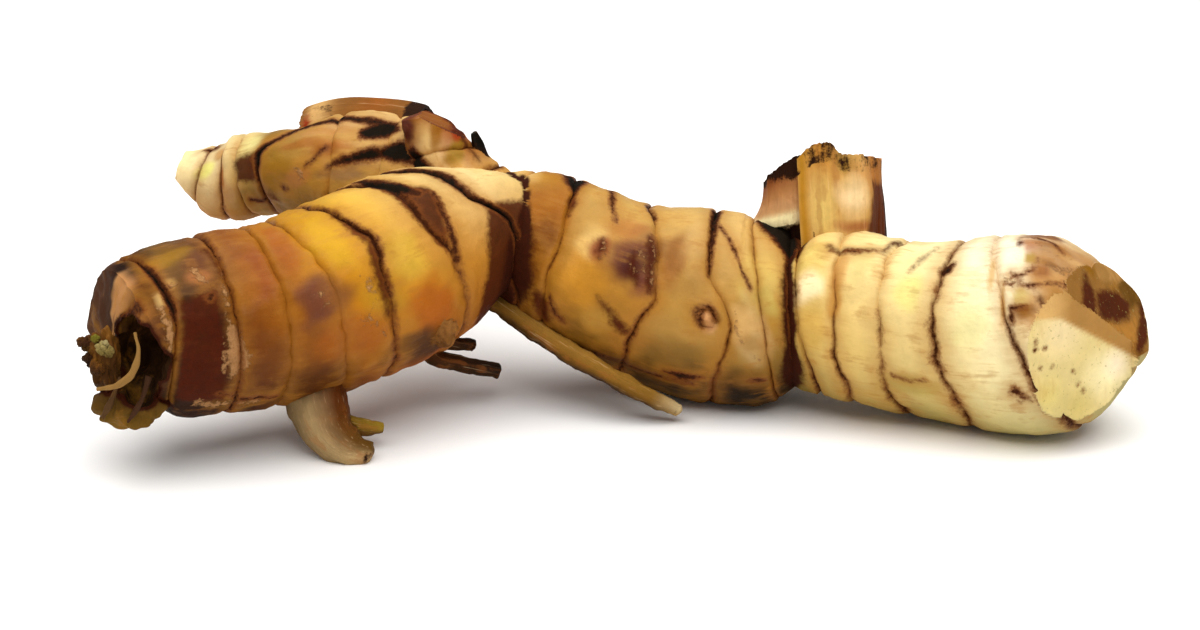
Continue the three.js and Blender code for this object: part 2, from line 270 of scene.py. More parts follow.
def grow_limb(name, limb, rings, *, sides, inks, bands, smudges=(), ink=(), maroon=(), cork=(), dull=(),
              step=0.55, end_rows=18, lumps=1.0, dome=0.5, bulge=None):
    """A whole limb of skin, ring by ring, with its marks on its points.

    rings are the ring scars, each given by the station at some angles; the last one is where the limb ends.
    inks are each ring's half-width of dark crack at some angles, below zero where it fades. Marks are given
    by (angle, station): ink is black, maroon dark red, cork pale and scabby, and dull has no wax.
    bulge adds forms of its own to the skin.
    """
    rows = [(0, 0.0, 0.0)]
    for i in range(len(rings) - 1):
        middle = [np.mean(all_round(ring, np.arange(0, 360, 30))) for ring in rings[i:i + 2]]
        count = max(2, round((limb.length_to(middle[1]) - limb.length_to(middle[0])) / step))
        t = np.arange(count) / count
        rows += [(i, s, 1.0) for s in t - 0.35 * np.sin(2 * math.pi * t) / (2 * math.pi)]
    rows += [(len(rings) - 2, 1.0, share) for share in np.cos(np.linspace(0, math.pi / 2, end_rows))]
    rows[-1] = (len(rings) - 2, 1.0, 0.0)
    piece, across, round_it = new_grid(name, len(rows) - 1, sides)
    row = np.rint(across * (len(rows) - 1)).astype(int)
    degrees = -120 + 360 * (np.rint(round_it * sides) % sides) / sides
    interval, share, narrow = (np.array([r[k] for r in rows])[row] for k in range(3))
    interval = interval.astype(int)
    courses = np.array([all_round(ring, degrees) for ring in rings])
    middles = courses.mean(1)
    courses = middles[:, None] + (courses - middles[:, None]) * narrow
    points = np.arange(len(row))
    u = courses[interval, points] * (1 - share) + courses[interval + 1, points] * share
    mm_per_station = limb.length_to(limb.count) / limb.count
    ring_away = np.full(len(u), FAR)
    ring_ink = np.full(len(u), OUTSIDE)
    relief = np.zeros(len(u))
    for course, widths in zip(courses[1:-1], inks):
        past = (u - course) * mm_per_station
        ring_away = np.minimum(ring_away, np.abs(past))
        ring_ink = np.maximum(ring_ink, CRACK_SHARE * all_round(widths, degrees, 4) - np.abs(past))
        relief -= RING_DROP * np.exp(-np.maximum(past, 0) / DROP_FADE) * (past > -0.2)
    angle = np.radians(degrees)
    out_of_round = 0.45 * np.sin(2 * angle + 1.7 * u) + 0.25 * np.sin(3 * angle - 2.3 * u)
    swell = lumps * out_of_round + lumps * relief
    lip = np.exp(-(((ring_away - 1.2) / 0.7) ** 2))
    swell += RING_SWELL * (1 - np.exp(-ring_away / 4)) + RING_LIP * lip
    places = limb.skin(u, degrees, swell, narrow)
    groove = RING_GROOVE + 0.3 * grain_at(places, 3.5, 6.6)
    swell -= groove * np.exp(-((ring_away / GROOVE_WIDTH) ** 1.5))
    swell += 0.34 * grain_at(places, 4.5) + 0.2 * grain_at(places, 1.7, 9.1)
    stray = STRAY * lumps * narrow * grain_at(places, 2.6, 5.5) / mm_per_station
    u = np.clip(u + stray, 0, limb.count)
    if bulge:
        swell += bulge(u, degrees)
    places = limb.skin(u, degrees, swell, narrow)
    end = narrow < 1
    rise = dome * (1 - narrow[end] ** 2) + 0.7 * grain_at(places[end], 2.2, 3.3)
    places[end] += limb.section(u[end])[1] * rise[:, None]
    put(piece, places)
    at = limb.flattened(u, degrees)
    girth = smooth_curve(limb.widths, u, False).mean(-1)
    grain = np.c_[girth * np.cos(angle), girth * np.sin(angle), at[:, 0]]
    fields = {}
    for kind, marks in (("ink", ink), ("maroon", maroon), ("cork", cork), ("dull", dull)):
        depths = [np.full(len(u), OUTSIDE)]
        for half_width, spots in marks:
            corners = limb.flattened(*np.array([(station, turn) for turn, station in spots], float).T)
            depths.append(depth_inside(at, half_width, corners))
        fields[kind] = np.max(depths, 0)
    fields["ink"] = np.maximum(fields["ink"], ring_ink)
    wax = np.clip(0.6 + 0.6 * np.cos(angle - 0.5), 0, 1) * np.clip(0.5 - fields.pop("dull"), 0, 1)
    tint = skin_tint(limb, u, degrees, bands, smudges)
    add_values(piece.data, tint, grain, flesh=0.0, wax=wax, **fields)
    turn_outwards(piece, SEAM)
    return piece


front_limb = Limb([
    [-10, 8, 29, 8], [-21.5, 1, 29.6, 11.6], [-33, -8.5, 28.2, 15.6], [-45, -16.5, 25.2, 16.7],
    [-57, -22.5, 22.8, 15.6], [-68, -27.5, 23, 14.6], [-75, -30.6, 23.3, 13.6], [-79.3, -32.5, 22.6, 12],
    [-84, -34.6, 21.9, 10.8],
])
rhizome = grow_limb("rhizome_body", front_limb, sides=144, dome=2.2, rings=[
    {0: 0},
    {-17: 2.0, 2: 1.55, 34: 1.42, 59: 0.97, 90: 0.9, 180: 0.9, 270: 1.7},
    {-20: 2.5, -6: 2.28, 18: 2.13, 43: 2.13, 64: 2.0, 75: 1.97, 110: 1.95, 180: 1.95, 230: 2.3, 300: 2.65},
    {-7: 3.07, 8: 2.95, 28: 2.87, 43: 2.73, 65: 2.82, 80: 2.83, 94: 2.85, 113: 2.88, 180: 2.95, 270: 3.15},
    {14: 3.53, 42: 3.42, 62: 3.35, 82: 3.38, 180: 3.5, 270: 3.7},
    {0: 4.12, 60: 4.02, 90: 4.05, 180: 4.1, 270: 4.3},
    {1: 4.87, 42: 4.78, 72: 4.73, 101: 4.7, 134: 4.7, 180: 4.75, 270: 5},
    {7: 6.1, 18: 6.05, 32: 6.0, 50: 5.9, 71: 5.87, 98: 6.05, 155: 6.5, 180: 6.55, 270: 6.6},
    {0: 6.75, 90: 6.3, 180: 7.3, 270: 7.7},
], inks=[
    {-30: 1.2, 2: 1.4, 24: 1.3, 40: 1.1, 54: 1.3, 70: 1.1, 180: 0.5, 270: 0.6},
    {-20: 0.7, 5: 0.75, 30: 0.7, 60: 0.45, 75: 0.15, 95: -0.2, 180: 0.2, 270: 0.5},
    {-10: 0.2, 5: 0.35, 20: 0.55, 40: 0.7, 60: 0.45, 75: 0.2, 100: 0.05, 180: 0.2, 270: 0.4},
    {0: -0.3, 30: -0.9, 90: -0.7, 180: 0, 270: 0.2},
    {0: -0.9, 90: -1.1, 180: -0.2, 270: 0},
    {0: 0.3, 40: 0.1, 90: 0.1, 140: 0.4, 180: 0.4, 270: 0.4},
    {0: 0.2, 20: 0.9, 32: 1.2, 50: 0.9, 60: 1.0, 72: 0.1, 100: -0.4, 180: 0.4, 270: 0.5},
], bands=[
    [0, STRAW, OCHRE, HONEY],
    [1.2, CREAM, (206, 152, 62), HONEY],
    [2.0, (234, 204, 128), (208, 152, 54), HONEY],
    [2.5, (234, 196, 92), (214, 160, 52), (182, 108, 26)],
    [3.0, (222, 178, 52), (212, 152, 36), (160, 94, 20)],
    [3.4, (214, 164, 32), (200, 134, 28), (142, 82, 20)],
    [3.8, (196, 138, 34), (178, 114, 26), (126, 72, 18)],
    [4.3, (176, 114, 30), (168, 104, 24), (112, 62, 16)],
    [4.65, (164, 102, 32), (146, 82, 20), (92, 46, 12)],
    [4.9, (140, 86, 34), (104, 46, 14), (74, 32, 10)],
    [5.8, (150, 108, 36), (112, 62, 20), (70, 32, 10)],
    [6.1, (104, 66, 38), (138, 88, 40), (66, 36, 14)],
    [7.5, (110, 70, 42), (178, 120, 68), (52, 30, 12)],
], smudges=[
    ((68, 3.55), (5, 5.5), (142, 84, 56), 0.85), ((40, 4.3), (4, 6), RUST, 0.45),
    ((25, 3.75), (3, 8), (182, 104, 34), 0.6), ((34, 3.2), (3.5, 7), (222, 178, 38), 0.8),
    ((60, 2.5), (4, 5), (226, 190, 74), 0.7), ((95, 2.4), (5, 6), (196, 116, 26), 0.8),
    ((78, 2.9), (4, 4), (206, 164, 44), 0.6), ((100, 4.4), (5, 7), UMBER, 0.5),
    ((95, 3.3), (7, 5), (186, 108, 26), 0.6), ((13, 5.7), (4, 2.6), (176, 132, 34), 0.85),
    ((36, 5.25), (2.8, 1.6), (190, 128, 66), 0.8), ((22, 5.2), (3, 2.5), (140, 82, 34), 0.6),
    ((75, 5.4), (6, 8), (70, 22, 6), 0.7), ((36, 6.4), (1.8, 3), (126, 74, 24), 0.85),
    ((0, 6.4), (2.8, 4), (66, 36, 22), 0.95), ((25, 7.0), (3.4, 5.4), (208, 158, 96), 0.95),
    ((52, 7.1), (3, 3), (150, 98, 46), 0.8), ((20, 6.95), (0.6, 0.8), (120, 74, 22), 0.9),
    ((44, 6.6), (2.4, 2.4), (112, 70, 26), 0.8), ((58, 7.0), (3, 2.4), (192, 132, 76), 0.8),
    ((38, 5.83), (0.9, 1.3), (206, 168, 96), 0.8), ((48, 6.02), (0.7, 1.6), (224, 196, 130), 0.9),
    # The dark smudges at 120 to 140 degrees are painted shade on the limb's underside.
    ((46, 4.55), (3, 5), (186, 126, 38), 0.6), ((125, 3.8), (8, 6), (112, 62, 18), 0.7),
    ((120, 2.6), (7, 5), (90, 46, 14), 0.85), ((140, 5.2), (9, 5), (80, 40, 12), 0.6),
], ink=[
    (0.45, [(24, 1.83), (40, 1.88), (62, 1.93), (75, 1.97)]),
    ([0.6, 1.1, 1.4, 0.8], [(-18, 2.32), (0, 2.24), (12, 2.14), (22, 2.0)]),
    (0.35, [(120, 5.0), (128, 4.6), (132, 4.2)]), ([0.2, 0.6, 0.3], [(51, 5.2), (52, 5.1), (49, 5.05)]),
    ([0.2, 0.5, 0.2], [(40, 6.75), (46, 6.6), (52, 6.5)]),
], maroon=[
    (None, [(6, 2.26), (14, 2.04), (19, 1.84), (29, 1.8), (45, 1.88), (58, 1.97), (64, 2.04), (56, 2.12),
     (40, 2.16), (24, 2.22)]),
    (None, [(46, 4.96), (60, 4.95), (90, 4.9), (128, 4.9), (126, 6.0), (100, 5.9), (70, 5.75), (52, 5.74)]),
    (None, [(47, 1.3), (61, 1.42), (80, 1.58), (99, 1.7), (120, 1.8), (142, 1.7), (142, 0.2), (44, 0.2),
     (44, 1.0)]),
    ([0.3, 0.5, 0.3], [(14, 4.97), (22, 4.9), (36, 4.86)]),
    ([0.3, 0.8, 1.0, 0.6], [(16, 2.98), (44, 2.8), (66, 2.86), (88, 2.9)]),
], cork=[
    ([0.2, 0.8, 0.5, 0.3, 1.5, 1.8, 1.0], [(34, 4.83), (56, 4.82), (62, 4.86), (68, 4.86), (76, 4.8),
     (98, 4.72), (106, 4.85)]),
    ([0.2, 0.7, 0.6], [(76, 4.95), (92, 4.9), (104, 4.95)]),
    ([0.3, 0.7, 0.8, 0.5, 0.3], [(50, 6.2), (62, 6.0), (78, 6.04), (96, 6.3), (112, 6.6)]),
    (0.5, [(37, 5.78), (39, 5.82)]), (0.4, [(84, 3.15), (92, 3.02), (100, 2.98)]),
    (0.8, [(128, 5.4), (132, 5.0), (133, 4.4)]), ([0.2, 0.6, 0.2], [(29, 5.35), (35, 5.25), (40, 5.1)]),
    ([0.2, 0.5, 0.2], [(58, 3.4), (64, 3.55), (62, 3.7)]), (0.4, [(70, 3.5), (75, 3.75), (82, 3.7)]),
    ([0.2, 0.35, 0.2], [(60, 3.05), (74, 3.0), (90, 3.2)]),
], dull=[
    (None, [(-120, 5.93), (240, 5.93), (240, 9), (-120, 9)]),
])

# Rear limb
# A thinner, older limb behind the fork that ends in a pale finger, the youngest growth on this side.
# Its scale leaves have dried on it, so their edges show as dark curved lines over tan, streaky skin.
# The thick line just below the standing scale leaf is partly painted shadow of its lifted edge.

rear_limb = Limb([
    [-21, 11, 32, 7.5], [-33, 16.5, 35.6, 9.8], [-45, 21, 35.8, 10.2], [-54, 24, 34.2, 9],
    [-61.5, 26.5, 33.2, 7.5], [-68, 28.5, 31.4, 7.3], [-74, 30, 32.1, 5.4], [-77.5, 31, 32.8, 3.4],
])
rear_body = grow_limb("rear_body", rear_limb, sides=110, step=0.5, end_rows=10, rings=[
    {0: 0},
    {0: 1.3},
    {0: 2.1, 90: 2.05, 180: 2.3, 270: 2.3},
    {96: 3.68, 70: 3.74, 50: 3.77, 42: 3.62, 29: 3.42, 7: 3.18, -6: 2.95, 180: 3.7, 270: 3.1},
    {0: 4.3, 90: 4.45, 180: 4.5, 270: 4.4},
    {0: 5.0},
    {0: 5.8, 90: 5.85, 180: 5.9, 270: 5.8},
    {0: 7},
], inks=[
    {0: -1.6},
    {0: -1.6, 90: -1.6, 180: 0.2, 270: 0.3},
    {-10: 1.2, 7: 1.2, 30: 1.3, 48: 1.6, 62: 1.2, 90: 0.5, 180: 0.5, 270: 0.5},
    {0: -0.8, 90: -0.8, 180: 0, 270: 0.2},
    {0: -0.1, 60: 0.25, 90: 0.2, 180: 0.2, 270: 0.2},
    {0: 0.1, 90: -0.2, 180: 0, 270: 0.1},
], bands=[
    [0, (232, 204, 140), (222, 188, 116), HONEY],
    [1.3, (230, 200, 136), (216, 174, 88), (164, 112, 46)],
    [2.2, (212, 176, 104), (200, 152, 62), (168, 122, 48)],
    [3.2, (190, 150, 70), (180, 136, 42), (152, 108, 34)],
    [3.7, (176, 134, 48), (166, 122, 34), (128, 86, 20)],
    [4.1, (236, 216, 150), (212, 172, 84), (180, 140, 66)],
    [5.0, (240, 224, 172), (228, 196, 136), (190, 140, 70)],
    [5.7, (244, 230, 180), (240, 218, 160), (206, 160, 90)],
    [7, (250, 230, 174), (252, 230, 172), (228, 190, 124)],
], smudges=[
    ((46, 1.9), (5, 1.2), (176, 96, 26), 0.75), ((55, 2.15), (3, 1.4), (166, 88, 14), 0.8),
    ((42, 2.6), (6, 1.1), (180, 112, 30), 0.65), ((14, 1.9), (5, 2), (226, 196, 140), 0.8),
    ((28, 2.3), (7, 1.2), (204, 154, 92), 0.6), ((44, 1.55), (5, 1.1), (236, 204, 130), 0.8),
    ((62, 2.5), (7, 1.1), (206, 156, 66), 0.6), ((75, 3.2), (4, 3), (176, 128, 30), 0.7),
    ((80, 2.7), (3, 2), (196, 136, 74), 0.7), ((78, 1.85), (5, 1.4), (150, 118, 92), 0.55),
    ((67, 1.7), (4.5, 0.6), (128, 98, 84), 0.6), ((104, 3.7), (2.2, 3), (110, 64, 14), 0.85),
    ((110, 4.2), (4, 3), (136, 100, 34), 0.7), ((31, 4.02), (2.4, 3), (232, 220, 150), 0.8),
    ((60, 5.6), (2.2, 2.2), (246, 242, 140), 0.8), ((6, 5.7), (1.6, 1.6), (96, 66, 20), 0.8),
    ((30, 5.3), (1.8, 1.8), (196, 138, 40), 0.6), ((68, 4.93), (0.8, 3), (170, 84, 20), 0.85),
    ((98, 4.8), (3, 2), (190, 146, 92), 0.6),
], ink=[
    # This thick dark line, just below the scale leaf's front edge, is partly a scar and partly painted shadow
    # of that lifted edge.
    ([0.8, 0.9, 0.9, 0.8, 0.9, 1.0], [(29, 3.34), (14, 3.1), (12, 2.7), (11, 2.2), (11, 1.8), (16, 1.4)]),
    (None, [(29, 1.72), (14, 1.5), (6, 1.3), (20, 1.18), (36, 1.38), (40, 1.62)]),
    ([0.2, 0.4, 0.3], [(70, 2.5), (60, 2.3), (50, 2.15)]),
    ([0.3, 0.8, 1.0, 1.4], [(72, 2.1), (66, 1.85), (61, 1.65), (54, 1.42)]),
    (None, [(56, 1.46), (44, 1.32), (34, 1.12), (32, 0.98), (56, 0.8), (60, 1.1)]),
    ([0.3, 0.8, 0.3], [(2, 6.0), (2, 5.8), (8, 5.6)]), ([0.3, 0.5], [(89, 3.1), (92, 3.0)]),
    ([0.3, 0.5, 0.3], [(113, 3.6), (118, 3.9), (113, 4.2)]),
], maroon=[
    (None, [(46, 3.85), (86, 3.8), (84, 4.42), (48, 4.46)]),
    ([0.3, 0.6, 0.3], [(100, 3.5), (106, 3.4), (112, 3.3)]),
    ([0.3, 0.6, 0.4], [(40, 1.0), (28, 0.9), (14, 0.95)]),
], cork=[
    ([0.2, 0.6, 0.3], [(68, 2.75), (74, 2.65), (80, 2.6)]),
    ([0.2, 0.5, 0.2], [(84, 3.0), (88, 3.2), (96, 3.2)]),
    ([0.2, 0.4, 0.2], [(34, 1.25), (37, 1.1), (33, 1.0)]),
])

# Middle limb
# The limb that runs from the fork to the fresh end. Living flesh like the rest, ochre and waxy, bruised
# brown on its shoulder, with one small sleeping bud, the eye, that grew from the angle of a lost leaf.

EYE = (77, 4.45)


def eye_form(limb):
    """A bud in a shallow dish with a raised rim."""
    def bulge(u, degrees):
        centre = limb.flattened(np.array([EYE[1]]), np.array([EYE[0]]))[0]
        away = np.linalg.norm((limb.flattened(u, degrees) - centre) * (0.85, 1.1), axis=1)
        bud = 1.2 * np.exp(-((away / 1.1) ** 2)) - 0.8 * np.exp(-(((away - 1.7) / 0.55) ** 2))
        return bud + 0.4 * np.exp(-(((away - 2.7) / 0.7) ** 2))
    return bulge


middle_limb = Limb([
    [-24, 8, 30, 8], [-15, 5, 28.2, 11.8], [-7, 3.5, 25, 13.6], [4, 1.5, 20.6, 15.5], [14.5, 0, 17.6, 16.8],
    [25, -1, 16.3, 16.4], [32, -2, 16.9, 15.3], [37.5, -3, 17.2, 12.4],
])
eye = eye_form(middle_limb)
middle_body = grow_limb("middle_body", middle_limb, sides=144, end_rows=6, bulge=eye, rings=[
    {0: 0},
    {0: 0.9, 54: 1.0, 74: 1.03, 91: 1.15, 108: 1.4, 117: 1.6, 180: 1.7, 270: 1.1},
    {-14: 1.63, 34: 1.82, 52: 1.93, 69: 1.98, 85: 1.98, 102: 2.07, 130: 2.18, 180: 2.2, 270: 1.8},
    {-7: 2.97, 23: 3.2, 42: 3.43, 58: 3.53, 71: 3.6, 86: 3.5, 99: 3.4, 118: 3.42, 180: 3.4, 270: 3.1},
    {-14: 4.32, 20: 4.27, 50: 4.35, 62: 4.6, 73: 4.83, 83: 4.9, 95: 4.85, 112: 4.73, 122: 4.68, 180: 4.65,
     270: 4.35},
    {0: 5.5, 90: 5.85, 180: 5.9, 270: 5.4},
    {0: 6.38, 24: 6.45, 70: 6.62, 91: 6.68, 123: 6.85, 180: 6.86, 270: 6.5},
    {0: 7},
], inks=[
    {0: -1.3, 90: -1.0, 117: 0.2, 180: 0.4, 270: 0.5},
    {-14: 0.6, 20: 0.2, 32: -0.9, 46: -0.9, 60: -0.1, 76: -0.1, 96: -0.6, 130: 0.2, 180: 0.4, 270: 0.5},
    {-7: 0.5, 12: 0.6, 22: -0.3, 32: -1.4, 60: -1.4, 70: -0.3, 80: 0.2, 92: 0.4, 105: 0.3, 118: 0.2,
     180: 0.3, 270: 0.5},
    {-14: 0.3, 20: 0.2, 46: -0.3, 56: -1.4, 66: -1.2, 76: -0.2, 90: 0.1, 112: 0.0, 122: 0.2, 180: 0.3,
     270: 0.4},
    {0: -0.5, 90: -0.5, 180: 0.2, 270: 0.4},
    {-20: 1.6, 24: 1.4, 60: 0.7, 90: 0.9, 120: 1.2, 180: 0.6, 270: 0.6},
], bands=[
    [0, (230, 194, 112), (190, 128, 36), (132, 76, 14)],
    [0.9, (206, 158, 56), (172, 108, 16), (126, 72, 12)],
    [1.7, (186, 130, 26), (166, 104, 12), (122, 70, 10)],
    [2.1, (212, 174, 94), (188, 136, 44), (142, 92, 18)],
    [3.3, (220, 184, 104), (200, 148, 58), (142, 94, 20)],
    [4.2, (218, 184, 110), (192, 146, 66), (130, 90, 24)],
    [5.0, (228, 194, 120), (204, 158, 72), (134, 92, 22)],
    [6.0, (224, 190, 110), (198, 154, 66), (124, 86, 24)],
    [7.0, (204, 166, 86), (180, 136, 60), (110, 80, 25)],
], smudges=[
    ((40, 1.4), (5, 7), (176, 112, 12), 0.8), ((0, 0.7), (4, 4), (240, 210, 138), 0.8),
    ((70, 2.3), (1.6, 7), (222, 170, 76), 0.6), ((78, 2.5), (5, 6), (216, 160, 52), 0.6),
    ((48, 2.4), (3, 4), (232, 200, 124), 0.7), ((52, 2.55), (2.0, 2.6), (164, 84, 30), 0.85),
    ((50, 3.1), (6.0, 5.4), (142, 82, 46), 0.9), ((56, 3.2), (4.0, 3.6), (112, 54, 36), 0.95),
    ((64, 3.4), (2.4, 3.4), (146, 88, 62), 0.9), ((42, 3.8), (3.4, 5.4), (172, 118, 46), 0.5),
    ((34, 2.8), (4, 3), (196, 132, 56), 0.6), ((46, 3.75), (3, 6), (168, 112, 44), 0.7),
    ((28, 4.0), (2.5, 7), (220, 184, 112), 0.6), ((84, 4.1), (7, 6), (204, 164, 84), 0.6),
    ((108, 4.1), (9, 5), (160, 118, 44), 0.7), ((50, 5.6), (5, 6), (226, 198, 110), 0.7),
    ((84, 5.5), (4, 7), (226, 200, 142), 0.6), ((110, 2.7), (6, 5), (196, 148, 50), 0.5),
    ((98, 2.9), (3, 3), (196, 152, 66), 0.7), ((78, 5.2), (4, 3.4), (224, 184, 112), 0.8),
    ((92, 5.5), (3, 2.2), (190, 146, 74), 0.7), ((66, 5.9), (2.5, 3), (206, 182, 96), 0.7),
    # The dark smudges at 118 to 134 degrees are painted shade on the limb's underside, darkest where it nears
    # the table.
    ((120, 5.0), (12, 4), (104, 66, 12), 0.7), ((118, 2.4), (8, 3), (112, 68, 10), 0.6),
    ((134, 5.0), (16, 5), (54, 28, 8), 0.9), ((68, 1.6), (3, 7), (144, 84, 8), 0.8),
    ((134, 3.0), (12, 4), (92, 54, 14), 0.7), (EYE, (2.4, 2.4), (222, 176, 124), 0.9),
], ink=[
    (None, [(-16, 1.35), (-18, 1.95), (2, 1.84), (14, 1.78), (4, 1.5)]),
    ([0.5, 0.35, 0.2], [(-10, 2.32), (14, 2.42), (31, 2.6)]),
    ([1.3, 0.9, 0.6, 0.15], [(-8, 4.3), (10, 4.3), (30, 4.32), (52, 4.36)]),
    (0.3, [(13, 4.4), (32, 4.82), (51, 5.42), (57, 5.53)]),
    (None, [(-14, 5.5), (-20, 6.6), (30, 6.8), (34, 6.45), (22, 6.15), (4, 5.75)]),
    ([0.3, 0.9, 0.3], [(120, 4.0), (120, 4.25), (118, 4.5)]),
    ([0.2, 0.6, 0.2], [(119, 5.3), (119, 5.5), (119, 5.7)]),
    ([0.2, 0.5, 0.2], [(99, 2.15), (108, 2.3), (112, 2.5)]), (0.3, [(74, 4.25), (70, 4.45), (78, 4.62)]),
    ([0.2, 0.6, 0.3], [(74, 4.36), (78, 4.32), (82, 4.38)]), (0.3, [(126, 3.0), (128, 3.8), (126, 4.4)]),
], maroon=[
    (None, [(46, 0.9), (50, 1.15), (68, 1.33), (87, 1.48), (111, 1.5), (136, 1.42), (136, 0.3), (46, 0.3)]),
    (None, [(12, 1.78), (20, 1.74), (36, 1.86), (24, 1.9)]),
    ([0.3, 0.8, 0.4], [(46, 2.5), (53, 2.56), (58, 2.6)]),
    ([0.3, 1.1, 0.7, 0.3], [(34, 3.18), (46, 3.32), (58, 3.4), (70, 3.5)]),
    ([0.3, 0.9, 0.3], [(50, 3.05), (58, 3.1), (66, 3.25)]),
    ([0.2, 0.6, 0.2], [(54, 3.3), (62, 3.42), (70, 3.5)]),
    ([0.3, 0.9, 0.5], [(88, 2.95), (94, 3.15), (98, 3.35)]),
    ([0.2, 0.5, 0.3], [(82, 2.75), (88, 2.95), (88, 3.1)]),
    ([1.0, 1.4, 1.0], [(104, 1.95), (110, 2.1), (118, 2.2)]),
], cork=[
    ([0.1, 0.3, 0.4, 0.2], [(52, 5.2), (62, 5.05), (80, 5.02), (96, 5.3)]),
    ([0.1, 0.3, 0.1], [(100, 5.45), (104, 5.75), (98, 6.0)]),
    ([0.1, 0.6, 0.1], [(44, 3.1), (50, 3.2), (62, 3.35)]),
    ([0.1, 0.5, 0.1], [(56, 3.0), (60, 3.2), (58, 3.4)]),
    ([0.1, 0.5, 0.1], [(48, 3.4), (56, 3.42), (66, 3.5)]),
    ([0.1, 0.4, 0.1], [(38, 3.2), (44, 3.35), (52, 3.36)]),
    ([0.1, 0.4, 0.1], [(44, 2.5), (52, 2.6), (60, 2.66)]),
    ([0.1, 0.3, 0.1], [(50, 2.55), (58, 2.6), (66, 2.7)]),
])

# Pale limb
# The youngest, freshest limb: ivory skin that has not yet turned, with thin dark ring scars. A knife has
# taken its end in two strokes. The lower cut is fresh and cream; the upper one has dried greenish brown.

